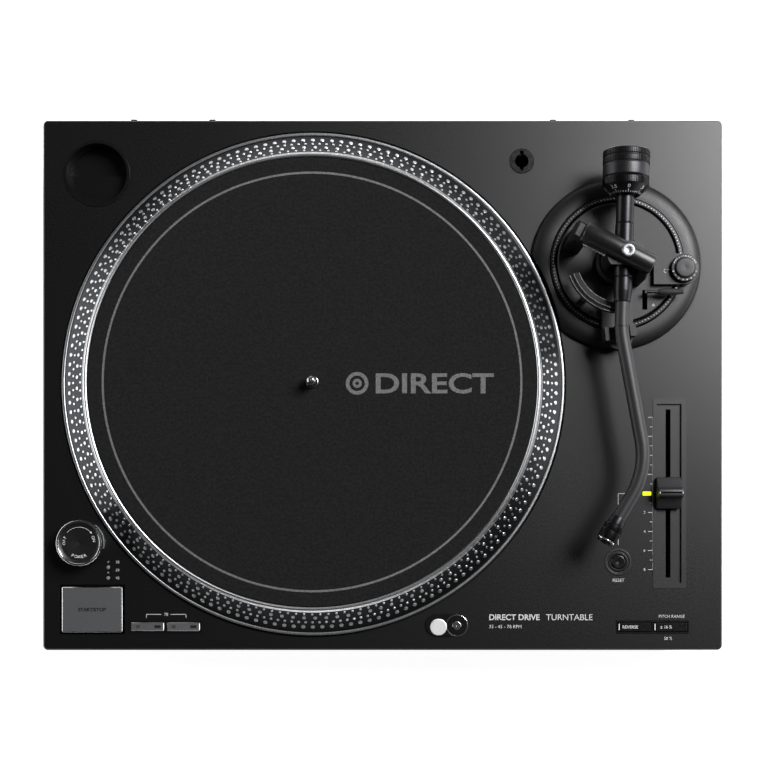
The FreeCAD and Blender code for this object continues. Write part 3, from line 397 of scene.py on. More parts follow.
def make_finishes(look):
    """Every finish of the object, by name."""
    return {
        # fine matt powder on die-cast aluminium; its orange peel is drawn at 1 mm, coarser than real, to show
        "powder": surface("powder_coated_aluminium", look.deck_color, 0.34, grain_mm=1.0, depth_mm=0.02,
                          shade="#0a0a0b", spread=0.05, detail=4.0),
        # injection-moulded ABS, satin: broad soft highlights
        "abs": surface("moulded_abs_satin", "#141415", 0.4, grain_mm=0.6, depth_mm=0.008),
        # the same plastic with a polished tool face
        "abs_gloss": surface("moulded_abs_polished", "#101011", 0.22, grain_mm=2.0, depth_mm=0.004,
                             spread=0.04),
        # rubber-filled moulding: dull and slightly uneven
        "rubber": surface("filled_rubber_moulded", "#131313", 0.72, grain_mm=1.2, depth_mm=0.05,
                          shade="#1c1c1c"),
        # zinc-plated steel: bluish grey with a fine scratch
        "zinc": surface("zinc_plated_steel", "#b4b6b8", 0.32, 1.0, grain_mm=0.3, depth_mm=0.004),
        # die-cast aluminium turned on a lathe: bright, with fine rings from the tool
        "turned": turned_metal("turned_aluminium_bright", "#d6d7d9", 0.3, 1.4, 0.006),
        # the sloping rim, cast and painted between its polished dots
        "band": turned_metal("rim_band_anodised", "#3d3e40", 0.36, 2.2, 0.01),
        # dots polished through the paint to bare aluminium
        "dots": surface("polished_aluminium_dots", "#dfe0e2", 0.3, 1.0, grain_mm=0.4, depth_mm=0.004,
                        spread=0.06),
        # ground and polished steel
        "steel": surface("ground_steel", "#9c9da0", 0.26, 1.0, grain_mm=0.25, depth_mm=0.002, spread=0.05),
        # nickel-plated brass, turned; the same bright metal makes the plate painted as a highlight on the arm
        # rest's side
        "nickel": surface("nickel_plated_brass_and_painted_highlight", "#d9d8d4", 0.2, 1.0, grain_mm=0.3, depth_mm=0.003,
                          spread=0.05),
        # iron and ferrite parts of the drive, cast or sintered
        "cast": surface("cast_iron_grey", "#5a5b5d", 0.55, 0.8, grain_mm=0.8, depth_mm=0.05, shade="#47484a"),
        "ferrite": surface("sintered_ferrite", "#2c2c2e", 0.6, 0.2, grain_mm=0.5, depth_mm=0.02),
        # pressed wool felt: matt, with a loose fibre pile drawn at 1.6 mm so that it shows
        "felt": felt(look),
        # grey screen print soaked into the felt, so its edge and cover are uneven
        "felt_ink": surface("screen_print_on_felt", "#707070", 0.95, grain_mm=1.1, depth_mm=0.08,
                            shade="#585858", detail=5.0, Specular_IOR_Level=0.1),
        # epoxy pad printing on the deck
        "deck_ink": surface("pad_print_grey", look.print_color, 0.6, grain_mm=0.7, depth_mm=0.004,
                            shade="#b4b4b4"),
        "bright_ink": surface("pad_print_white", "#ececec", 0.55, grain_mm=0.5, depth_mm=0.004,
                              shade="#d8d8d8"),
        # the black also lies flat on the deck as the painted shadow in the gap round the arm base
        "black_ink_and_shadow": surface("pad_print_black_and_painted_shadow", "#060606", 0.5, grain_mm=0.5, depth_mm=0.004),
        # satin stoving paint on the arm's castings
        "satin": surface("stoved_satin_paint", "#131314", 0.36, grain_mm=0.9, depth_mm=0.006, spread=0.05),
        # black anodised aluminium tube: a metal under a dark oxide, with softly drawn-out highlights
        "anodised": surface("black_anodised_aluminium", "#2b2b2d", 0.34, 0.9, grain_mm=0.35, depth_mm=0.004),
        # grey stoving paint of the arm tube: satin, so its highlights are broad
        "tube": surface("stoved_grey_paint", "#2e2e30", 0.45, 0.35, grain_mm=0.7, depth_mm=0.004,
                        spread=0.05),
        # texture coat of the base and platform, duller than the castings over them
        "base": surface("texture_coat_fine", "#0c0c0d", 0.47, grain_mm=0.8, depth_mm=0.012, shade="#101011"),
        "weight": surface("black_coated_steel", "#353537", 0.4, 0.85, grain_mm=0.6, depth_mm=0.006),
        # grey anodised button, brushed from side to side: streaks 20 times as long as they are wide
        "button": surface("brushed_anodised_grey", look.button_color, 0.38, 0.75, grain_mm=0.3,
                          depth_mm=0.006, shade="#747577", stretch=(0.05, 1.0, 1.0)),
        # diamond-cut bevel: bare bright metal
        "bevel": surface("diamond_cut_aluminium", "#e0e1e3", 0.18, 1.0, grain_mm=0.3, depth_mm=0.002,
                         spread=0.05),
        # light grey metal: the pivot screw's head, and painted highlights on the height ring's teeth and
        # along the lift rail's edges
        "light_metal_and_highlights": surface("light_grey_metal_and_painted_highlights", "#8a8b8e", 0.3, 1.0, grain_mm=0.4, depth_mm=0.004),
        # spun disc: many fine turns scatter the light
        "spun": surface("spun_aluminium", "#ededee", 0.48, 0.85, grain_mm=0.3, depth_mm=0.006),
        # clear moulded acrylic
        "lens": surface("clear_acrylic_moulded", "#e8e9ea", 0.1, grain_mm=1.5, depth_mm=0.004, spread=0.04,
                        Transmission_Weight=0.75, IOR=1.49),
        "lamp_off": surface("smoked_lamp_lens", "#8f8d8b", 0.25, grain_mm=0.8, depth_mm=0.004,
                            Transmission_Weight=0.2, IOR=1.49),
        "lamp_lit": surface("lit_lamp_lens", look.lamp_color, 0.3, grain_mm=0.8, depth_mm=0.004,
                            Emission_Color=linear(look.lamp_color), Emission_Strength=1.6),
        # solder mask over glass-fibre board
        "board": surface("solder_mask_green", "#14451f", 0.35, grain_mm=2.5, depth_mm=0.02, shade="#0f3819"),
        "connector": surface("moulded_nylon_black", "#161617", 0.45, grain_mm=0.5, depth_mm=0.01),
    }


def turned_metal(name, color, roughness, ring_mm, depth_mm):
    """A metal with lathe rings about the spindle: the bump is a ring wave of that pitch and a fine noise."""
    material = surface(name, color, roughness, 1.0, grain_mm=0.35, depth_mm=0.004, spread=0.07)
    tree = material.node_tree
    place = add(tree, "Mapping", {"Vector": add(tree, "TexCoord").outputs["Object"],
                                  "Location": tuple(-SPINDLE * MM)}).outputs["Vector"]
    # a wave of scale s repeats every 2 pi / (20 s)
    rings = add(tree, "TexWave", {"Vector": place, "Scale": TAU / 20 / (ring_mm * MM), "Distortion": 0.4},
                wave_type="RINGS", rings_direction="Z").outputs["Fac"]
    fine = next(n for n in tree.nodes if n.type == "BUMP")
    bump = add(tree, "Bump", {"Height": rings, "Strength": 1.0, "Distance": depth_mm * MM,
                              "Normal": fine.outputs["Normal"]})
    tree.links.new(bump.outputs["Normal"], tree.nodes["Principled BSDF"].inputs["Normal"])
    return material


def felt(look):
    """Pressed felt: two sizes of noise for fibres and tufts, a dull coat and a little sheen."""
    material = surface("pressed_wool_felt", look.mat_color, 0.93, grain_mm=1.6, depth_mm=0.35,
                       shade="#181818", spread=0.05, detail=8.0, Sheen_Weight=0.08, Sheen_Roughness=0.6,
                       Specular_IOR_Level=0.15)
    tree = material.node_tree
    place = add(tree, "TexCoord").outputs["Object"]
    tufts = add(tree, "TexVoronoi", {"Vector": place, "Scale": 1 / (2.2 * MM)}).outputs["Distance"]
    fibres = next(n for n in tree.nodes if n.type == "BUMP")
    bump = add(tree, "Bump", {"Height": tufts, "Strength": 0.6, "Distance": 0.25 * MM,
                              "Normal": fibres.outputs["Normal"]})
    tree.links.new(bump.outputs["Normal"], tree.nodes["Principled BSDF"].inputs["Normal"])
    return material


# ---------------------------------------------------------------- settings

class TurntableLook(bpy.types.PropertyGroup):
    """The colours and sizes that a user may change before the makers run."""

    deck_color: bpy.props.StringProperty(name="Deck", description="Powder coat of the casing",
                                         default="#070708")
    mat_color: bpy.props.StringProperty(name="Mat", description="Felt of the slip mat", default="#070707")
    print_color: bpy.props.StringProperty(name="Print", description="Lettering on the deck",
                                          default="#cfcfcf")
    button_color: bpy.props.StringProperty(name="Buttons", description="Grey of the push buttons",
                                           default="#8a8b8d")
    lamp_color: bpy.props.StringProperty(name="Lamp", description="Lit centre lamp of the fader",
                                         default="#b9e010")
    floor_color: bpy.props.StringProperty(name="Floor", description="The floor that it stands on",
                                          default="#f4f4f4")
    camera_height: bpy.props.FloatProperty(name="Camera height", description="Over the deck", default=0.900,
                                           unit="LENGTH")
    dot_height: bpy.props.FloatProperty(name="Dot height", description="Of the raised dots on the rim",
                                        default=0.0005, unit="LENGTH")


FINISHES = {}


def finishes(context):
    """The finishes, made once from the settings."""
    if not FINISHES:
        FINISHES.update(make_finishes(context.scene.turntable_look))
    return FINISHES


# ---------------------------------------------------------------- carried-over pieces

CARRIED = {
    "powder": ["top_casing"],
    "abs": ["chassis", "hinge_sockets", "pitch_plate", "strobe_tower", "arm_rest"],
    "rubber": ["bottom_cover", "foot_front_left", "foot_front_right", "foot_rear_left", "foot_rear_right"],
    "zinc": ["cover_screws", "pitch_axle", "ground_terminal"],
    "cast": ["bearing_housing", "power_supply", "motor_stator", "pitch_potentiometer"],
    "ferrite": ["rotor_magnet"],
    "satin": ["gimbal", "rest_clip"],
    "base": ["arm_platform"],
    "abs_gloss": ["lamp_plate", "adapter_well", "headshell_holder", "button_bezels"],
    "anodised": ["weight_sleeve"],
    "connector": ["phono_jacks", "mains_inlet"],
    "board": ["main_board", "control_board"],
}


class FrameFinishes(bpy.types.Operator):
    """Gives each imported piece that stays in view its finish."""

    bl_idname = "turntable.frame_finishes"
    bl_label = "Frame finishes"

    def execute(self, context):
        finish = finishes(context)
        for key, names in CARRIED.items():
            for name in names:
                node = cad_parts[name]
                node.data.materials.clear()
                node.data.materials.append(finish[key])
        return {"FINISHED"}


# ---------------------------------------------------------------- drive

class Platter(bpy.types.Operator):
    """The platter, its dotted rim and the spindle."""

    bl_idname = "turntable.platter"
    bl_label = "Platter"

    def execute(self, context):
        look = context.scene.turntable_look
        finish = finishes(context)
        # bore, hub, web, skirt, the dotted slope, the bright lip, and the seat of the mat
        outline = [
            (4.3, 98), (24, 98), (28, 101.6), (134, 101.6), (143, 94.8), (144, 92.8), (166, 92.8), (166, 96),
            (164.4, 96), RIM_LOW, RIM_HIGH, (149.6, 107.9), (149.1, 108.6), (148.3, 109), (147.4, 108.8),
            (146.8, 108.2), (146.5, 106.2), (4.3, 106.2),
        ]
        grid = turned(soften(outline, 0.35), 480) + SPINDLE
        piece("platter_turned", [grid], [finish["turned"], finish["band"]], "platter",
              ["platter"], ring=True, paints=[marked(len(outline), 9)])
        # four rows, each a count, a radius and a size: their counts differ, as strobe patterns do
        dots = [self.dots(*row, look.dot_height / MM)
                for row in ((160, 160.2, 1.4), (216, 157.0, 0.88), (133, 154.0, 1.25), (180, 151.5, 0.8))]
        piece("rim_dots", [grid for row in dots for grid in row], [finish["dots"]], "platter")
        # the stepped pin with its rounded end, and the shaft under the platter
        top = [(0.0, 97.0), (4.2, 97.0), (4.2, 108.8), (3.6, 108.9), (3.6, 118), (2.9, 119.8), (1.4, 121),
               (0.0, 121)]
        lower = [(0.0, 62), (5, 62), (5, 97), (0.0, 97)]
        piece("spindle_ground", [turned(soften(p, 0.5), 48) + SPINDLE for p in (lower, top)],
              [finish["steel"]], "platter", ["spindle"])
        return {"FINISHED"}

    def dots(self, count, radius, size, height):
        """Flat-topped dots on the rim: size times (cos a, sin a) over the slope, height along its normal."""
        run = RIM_HIGH - RIM_LOW
        slope = run / np.linalg.norm(run)
        normal = np.array([slope[1], -slope[0]])
        foot = RIM_LOW + run * (radius - RIM_LOW[0]) / run[0]
        rings = np.array([(1.0, -0.05), (0.98, 0.7), (0.86, 0.97), (0.5, 1.0), (0.0, 1.0)])
        a = np.arange(10) * TAU / 10
        along_slope = size * rings[:, :1] * np.cos(a)
        sideways = size * rings[:, :1] * np.sin(a)
        rise = height * np.broadcast_to(rings[:, 1:], along_slope.shape)
        r = foot[0] + along_slope * slope[0] + rise * normal[0]
        z = foot[1] + along_slope * slope[1] + rise * normal[1]
        turn = (np.arange(count) * TAU / count)[:, None, None]
        x = r * np.cos(turn) - sideways * np.sin(turn)
        y = r * np.sin(turn) + sideways * np.cos(turn)
        return list(np.stack([x, y, np.broadcast_to(z, x.shape)], -1) + SPINDLE)


class SlipMat(bpy.types.Operator):
    """The felt slip mat and its print."""

    bl_idname = "turntable.slip_mat"
    bl_label = "Slip mat"

    def execute(self, context):
        finish = finishes(context)
        rings = np.linspace(4.5, 146.2, 60)
        wave = 0.05 * np.sin(rings * 0.9) * np.sin(rings * 0.13)
        top = np.column_stack([rings[::-1], (MAT_TOP - 0.1 + wave)[::-1]])
        edge = [(4.5, 106.2), (146.0, 106.2), (146.3, 107.4)]
        grid = turned(np.concatenate([edge, top]), 360) + SPINDLE
        mat = piece("felt_mat", [grid], [finish["felt"]], "slip_mat", ["slip_mat"], ring=True)
        print_parts = [arc(-46, 0, 135.7, 137.1), arc(-16.6, -0.9, 5.0, 7.4), arc(-16.6, -0.9, 1.1, 3.0),
                       word("DIRECT", -4.5, -0.9, 13.4, anchor=0, bold=0.022, stretch=1.27)]
        marks = ink("mat_print", print_parts, MAT_TOP + PRINT, finish["felt_ink"], "slip_mat")
        return {"FINISHED"}


# ---------------------------------------------------------------- deck

class DeckPrint(bpy.types.Operator):
    """Lettering, the pitch scale, thin guide lines and a band of painted shadow round the arm base, on the
    deck.
    """

    bl_idname = "turntable.deck_print"
    bl_label = "Deck print"

    def execute(self, context):
        finish = finishes(context)
        scale, zero, step = 178.9, -72.2, 6.3
        parts = [
            word("RESET", 156.3, -129.7, 2.1),
            word("PITCH RANGE", 191.5, -153.6, 1.9),
            word("50 %", 189.0, -168.2, 1.9),
            word("DIRECT DRIVE", 70.6, -154.2, 3.9, anchor=0, bold=0.02),
            word("TURNTABLE", 139.0, -154.2, 3.9, anchor=1),
            word("33 - 45 - 78 RPM", 70.6, -160.4, 2.2, anchor=0),
            word("78", -143.4, -152.3, 2.0),
            bar(-156.4, -152.3, -146.6, -152.3, 0.35), bar(-140.4, -152.3, -130.2, -152.3, 0.35),
            bar(-156.4, -152.1, -156.4, -154.6, 0.35), bar(-130.2, -152.1, -130.2, -154.6, 0.35),
            *[word(text, -175.6, y, 1.7) for text, y in (("78", -117.7), ("33", -123.0), ("45", -128.2))],
            bar(156.0, -72.3, 156.0, -106.5, 0.3), bar(156.0, -72.3, 171.0, -72.3, 0.3),
            bar(scale, zero + 8 * step, scale, zero - 8 * step, 0.35),
            *[bar(scale, zero + step * i, scale - (1.8 if i % 2 else 3.2), zero + step * i, 0.35)
              for i in range(-8, 9) if i],
            *[word(text, 173.4, zero - 2 * step * i, 1.8) for i, text in enumerate("2468", 1)],
        ]
        ink("deck_lettering", parts, DECK + PRINT, finish["deck_ink"], "plinth")
        # a flat black band painted as the shadow in the gap round the arm base, left open where the platter's
        # well cuts it
        gap = arc(*PIVOT[:2], BASE_RADIUS, BASE_RADIUS + 0.9, -127, 298)
        ink("base_gap_painted_shadow", [gap], DECK + PRINT, finish["black_ink_and_shadow"], "plinth")
        return {"FINISHED"}


class Controls(bpy.types.Operator):
    """Push buttons, their lettering and the rings round the reset button."""

    bl_idname = "turntable.controls"
    bl_label = "Push buttons"

    def execute(self, context):
        finish = finishes(context)
        levels = [(0, 92.2), (0, 94.8), (0.55, START_TOP - 0.05), (0.65, START_TOP)]
        start = stacked(40, 30, 0.8, levels) + START
        piece("start_button_cap", [start], [finish["bevel"], finish["button"]], "start_button",
              ["start_button"], paints=[KEY_PAINT])
        ink("start_button_word", [word("START/STOP", *START[:2], 2.5, bold=0.035)], START_TOP + PRINT,
            finish["black_ink_and_shadow"], "start_button")
        keys = (("speed_button_33", -155.55, -160.4, "33"), ("speed_button_45", -131.85, -160.4, "45"),
                ("reverse_button", 166.85, -160.6, "REVERSE"), ("range_button", 190.55, -160.6, "± 16 %"))
        levels = [(0, 91.4), (0, KEY_TOP - 0.35), (0.35, KEY_TOP), (0.5, KEY_TOP)]
        for name, x, y, label in keys:
            grey = "speed" in name
            block = stacked(21.7, 5.6, 0.5, levels) + [x, y, 0]
            sides, face, tone, mark = (("bevel", "button", "black_ink_and_shadow", "black_ink_and_shadow") if grey
                                       else ("abs", "abs_gloss", "deck_ink", "bright_ink"))
            piece(name + "_cap", [block], [finish[sides], finish[face]], name, [name],
                  paints=[KEY_PAINT])
            words = [word(label, x - (6.4 if grey else 3.0), y, 2.1, bold=0.03 if grey else 0.01,
                          stretch=0.95)]
            ink(name + "_word", words, KEY_TOP + PRINT, finish[tone], name)
            window = bar(x + 4.6, y, x + 8.8, y, 1.9) if grey else bar(x - 10.6, y, x - 10.1, y, 4.2)
            ink(name + "_window", [window], KEY_TOP + PRINT, finish[mark], name)
        crown = soften([(0, 91.4), (4.65, 91.4), (4.65, 95.0), (4.2, 95.4), (0, 95.15)], 0.25)
        crown = turned(crown, 64) + RESET
        piece("reset_button_cap", [crown], [finish["abs_gloss"]], "reset_button",
              ["reset_button"])
        # a flat collar with two raised rings and a gap between them, round the button
        rings = [(0, 89), (8.1, 89), (8.1, 94.01), (9.1, 94.01), (8.8, 94.4), (7.5, 94.4), (7.2, 94.0),
                 (6.6, 94.0), (6.3, 94.4), (5.0, 94.4), (5.0, 90), (0, 90)]
        piece("reset_rings", [turned(soften(rings, 0.12)) + RESET], [finish["abs"], finish["anodised"]],
              "plinth", ["reset_bezel"], paints=[marked(len(rings), 3, 5, 8)])
        return {"FINISHED"}


class PowerTower(bpy.types.Operator):
    """The ribbed strobe lens and the power knob over it."""

    bl_idname = "turntable.power_tower"
    bl_label = "Power and strobe"

    def execute(self, context):
        finish = finishes(context)
        # sixteen ribs stand on the lens's outer wall
        crest = 0.25 * np.abs(np.sin(np.linspace(0, 16 * np.pi, 160)))[:, None]
        outline = soften([(12.4, 95.6), (14.55, 95.6), (14.55, 101.4), (12.4, 101.4)], 0.25, 3)
        lens = swept_sector(outline, -14.5, 69, 160)
        spread = np.ones_like(lens[..., :2])
        spread[1:-1] += (crest / 14.5)[:, :, None] * (np.hypot(lens[1:-1, :, :1], lens[1:-1, :, 1:2]) > 14)
        lens = np.concatenate([lens[..., :2] * spread, lens[..., 2:]], -1) + TOWER
        piece("strobe_lens_ribbed", [lens], [finish["lens"]], "plinth", ["strobe_lens"])
        outline = [(0, 103), (14.7, 103), (15, 103.6), (15, 107.3), (14.55, 107.9), (13.7, 108),
                   (13.25, 107.55), (12.6, 107.2), (11.4, 106.8), (0, 106.4)]
        knob = turned(soften(outline, 0.2), 128) + TOWER
        piece("power_knob_cap", [knob], [finish["satin"], finish["bevel"]], "power_knob",
              ["power_knob"], paints=[marked(len(outline), 3, 5)])
        x, y = TOWER[:2]
        words = [*curved_word("POWER", x, y, 9.0, 270, 1.9, 13.5, inward=True),
                 *curved_word("OFF", x, y, 9.9, 170, 1.8, 12), *curved_word("ON", x, y, 9.9, 16, 1.8, 12),
                 arc(x, y, 10.3, 10.5, 42, 98, 40)]
        tip = np.array([[0.9, 0, 0], [-0.9, 0.7, 0], [-0.9, -0.7, 0]])
        end = math.radians(40)
        words.append((yawed(tip, end - math.pi / 2, (x + 10.4 * math.cos(end), y + 10.4 * math.sin(end), 0)),
                      [[0, 1, 2]]))
        ink("power_knob_words", words, 106.87, finish["bright_ink"], "power_knob")
        return {"FINISHED"}


class Lamps(bpy.types.Operator):
    """Speed lamps, the lit centre lamp of the fader, the pop-up lamp, and its release in a bright dish."""

    bl_idname = "turntable.lamps"
    bl_label = "Lamps"

    def execute(self, context):
        finish = finishes(context)
        domes = []
        for i, y in enumerate((-117.6, -121.13, -124.66, -128.19)):
            r = 1.15 if i % 2 else 0.6
            dome = turned([(0, 90), (r, 90), (r, 94.1), (0.8 * r, 94.22), (0, 94.25)], 24)
            domes.append(dome + [-181.7, y, 0])
        piece("speed_lamps", domes, [finish["lamp_off"]], "plinth", ["indicator_leds"])
        lit = stacked(5.6, 2.5, 0.5, [(0, 90), (0, 94.15), (0.15, 94.25), (0.2, 94.25)]) + [175.05, -72.3, 0]
        piece("centre_lamp", [lit], [finish["lamp_lit"]], "plinth")
        # the lamp's face is turned in fine rings
        radii = np.linspace(5.3, 0.25, 22)
        ridge = np.where(np.arange(22) % 2, 0.07, 0.0)
        spun = [(0, 71), (5.5, 71), (5.5, 95.2), *np.column_stack([radii, 95.3 + ridge]).tolist(), (0, 95.3)]
        piece("target_lamp_spun", [turned(spun) + LAMP], [finish["spun"]], "target_lamp",
              ["target_lamp"])
        dish = [(3.15, 94.1), (6.9, 94.85), (7.4, 94.79), (7.3, 94.3), (3.15, 93.6)]
        piece("release_dish", [turned(soften(dish, 0.15)) + RELEASE], [finish["bevel"]], "plinth",
              ring=True)
        cap = [(0, 91), (3.0, 91), (3.0, 95.2), (2.6, 95.6), (0, 95.55)]
        piece("lamp_button_cap", [turned(soften(cap, 0.3), 48) + RELEASE], [finish["nickel"]], "lamp_button",
              ["lamp_button"])
        return {"FINISHED"}


class Fader(bpy.types.Operator):
    """The pitch fader's cap, its stem and its white line."""

    bl_idname = "turntable.fader"
    bl_label = "Pitch fader"

    def execute(self, context):
        finish = finishes(context)
        # half of the cap's side: foot, shoulder, and the grip's steep flank
        half = [(10.5, 0), (10.5, 2.0), (8.6, 3.2), (3.4, 6.4), (2.5, 10.4), (1.6, 11)]
        side = soften([(-10.5, 0), *half, *[(-y, z) for y, z in half[:0:-1]]], 0.7)
        middle = np.array([0.0, 4.0])
        ends = np.array([(-8.0, 0.955), (-7.7, 0.985), (-7.2, 1.0), (7.2, 1.0), (7.7, 0.985), (8.0, 0.955)])
        rows = [np.column_stack([np.full(len(side), x), middle + (side - middle) * k]) for x, k in ends]
        low, tall = 95.0, 11.0
        cap = closed_ends(np.stack(rows)) + FADER + [0, 0, low]
        stem = stacked(2.4, 8.0, 0.4, [(0, 81), (0, low + 0.2)]) + FADER + [0.4, 0, 0]
        piece("fader_knob", [cap], [finish["tube"]], "pitch_fader", ["fader_cap"])
        piece("fader_stem", [stem], [finish["zinc"]], "pitch_fader")
        x, y = FADER[:2]
        ink("fader_line", [bar(x - 7.7, y, x + 7.7, y, 1.0)], low + tall - 0.01 + PRINT / 3,
            finish["bright_ink"], "pitch_fader")
        return {"FINISHED"}


# ---------------------------------------------------------------- tonearm support

class ArmBase(bpy.types.Operator):
    """The domed base, its knurled height ring and the printed marks of the platform."""

    bl_idname = "turntable.arm_base"
    bl_label = "Tonearm base"

    def execute(self, context):
        finish = finishes(context)
        angle = np.arange(480) * TAU / 480
        away = PIVOT - SPINDLE
        b = away[0] * np.cos(angle) + away[1] * np.sin(angle)
        c = away @ away - WELL_RADIUS**2
        # the ray from the pivot meets the platter's well at -b - sqrt(b^2 - c), where it meets it at all
        meets = (b < 0) & (b**2 > c)
        reach = np.where(meets, -b - np.sqrt(np.maximum(b**2 - c, 0)), 1e3)
        share = np.linspace(0, 1, 24)
        dome = np.column_stack([44.3 + (BASE_RADIUS - 44.3) * share,
                                94.9 + 5.8 * np.sqrt(np.maximum(1 - share**2.4, 0))])
        radius = np.concatenate([[46.0, 44.3], dome[:, 0], [BASE_RADIUS, 54.0]])
        height = np.concatenate([[94.2, 99.8], dome[:, 1], [94.2, 94.1]])
        r = np.minimum(radius[:, None], reach[None, :])
        z = np.broadcast_to(height[:, None], r.shape)
        grid = np.stack([r * np.cos(angle), r * np.sin(angle), z], -1)[::-1] + PIVOT
        piece("base_dome", [grid], [finish["base"]], "plinth", ["tonearm_base"], ring=True)
        skirt = turned([(15.9, 77), (45.6, 77), (45.6, 81), (15.9, 81)]) + PIVOT
        wall = turned([(44.4, 81), (45.6, 81), (45.6, 94), (44.4, 94)]) + PIVOT
        piece("base_cup", [skirt, wall], [finish["abs"]], "plinth", ring=True)
        # the ring's hidden skirt, its knurled wall and its broken top edge
        outline = soften([(40.2, 84), (43.9, 84), (43.9, 95), (43.9, 101.2), (43.3, 102.25), (41.6, 102.3),
                          (40.6, 102.3), (40.2, 101.7)], 0.3, 5)
        count = 124
        ring = knurled(outline, count, 0.7, 95.0, 101.4) + PIVOT
        # raised teeth on the ring's top, in a light metal that paints their highlights
        tooth = stacked(0.95, 0.95, 0.2, [(0, 102.0), (0, 102.5), (0.15, 102.62)]) + [41.9, 0, 0]
        teeth = [yawed(tooth, i * TAU / count, PIVOT) for i in range(count)]
        piece("ring_teeth_painted_highlight", teeth, [finish["light_metal_and_highlights"]], "height_ring")
        piece("height_ring_knurled", [ring], [finish["anodised"]], "height_ring",
              ["height_ring"], ring=True)
        marks = [bar(176.6, 58.6, 178.4, 58.6, 0.3), bar(176.6, 50.6, 178.4, 50.6, 0.3),
                 bar(176.6, 50.6, 177.5, 52.0, 0.3), bar(178.4, 50.6, 177.5, 52.0, 0.3)]
        ink("lift_marks", marks, PLATFORM + PRINT, finish["deck_ink"], "arm_support")
        ink("skate_mark", [arc(184.6, 72.6, 0.9, 1.2, 90, 200, 24), bar(185.4, 73.4, 186.8, 73.4, 0.3)],
            107.5 + PRINT, finish["deck_ink"], "arm_support")
        return {"FINISHED"}


class Bridge(bpy.types.Operator):
    """The arch over the bearing: a crowned bar, its legs, the set screws and the hollow pivot screw."""

    bl_idname = "turntable.bridge"
    bl_label = "Bearing bridge"

    def execute(self, context):
        finish = finishes(context)
        across = np.linspace(0, np.pi, 25)
        crown = np.column_stack([6.5 * np.cos(across), 135.4 + 7.3 * np.sin(across) ** 0.8])
        section = np.concatenate([crown, [(-6.3, 135.2), (6.3, 135.2)]])
        middle = np.array([0.0, 136.5])
        ends = np.array([(-30.0, 0.8), (-29.6, 0.92), (-28.7, 1.0), (16.8, 1.0), (18.2, 0.93), (18.8, 0.75)])
        rows = [np.column_stack([np.full(len(section), u), middle + (section - middle) * k]) for u, k in ends]
        bar_grid = closed_ends(np.stack(rows))
        left = stacked(11.0, 13.0, 0.8, [(0, 103), (0, 124), (0.8, 134.4), (2.4, 137.4)]) + [-31.0, -0.7, 0]
        lean = stacked(6.0, 14.5, 0.6, [(0, 103), (0, 118), (1.2, 130), (2.2, 132)]) + [-33.5, -1.2, 0]
        right = stacked(7.0, 14.0, 0.8, [(0, 103), (0, 129), (1.6, 136.0)]) + [15.6, -1.4, 0]
        grids = [yawed(g, BRIDGE_TURN, PIVOT) for g in (bar_grid, left, lean, right)]
        piece("bridge_arch", grids, [finish["satin"]], "arm_support", ["bearing_bridge"])
        rod = tube([(-27.0, -6.9, 134.3), (-11.0, -6.9, 134.3)], 1.2, 20)
        heads = [turned(soften([(0, 132.9), (1.5, 132.9), (1.5, 135.3), (0, 135.3)], 0.3), 24) + [u, -7.0, 0]
                 for u in (-25.0, -12.5)]
        # a collar round a sunk socket
        screw = soften([(0, 135.1), (2.5, 135.1), (2.5, 142.7), (4.2, 142.9), (4.2, 143.5), (3.7, 143.9),
                        (1.9, 143.9), (1.7, 143.6), (1.7, 143.0), (0, 143.0)], 0.15)
        piece("pivot_screw_head", [turned(screw, 48) + PIVOT], [finish["light_metal_and_highlights"]], "arm_support",
              ["pivot_screw"])
        piece("bridge_set_screws", [yawed(g, BRIDGE_TURN, PIVOT) for g in (rod, *heads)], [finish["nickel"]],
              "arm_support")
        return {"FINISHED"}


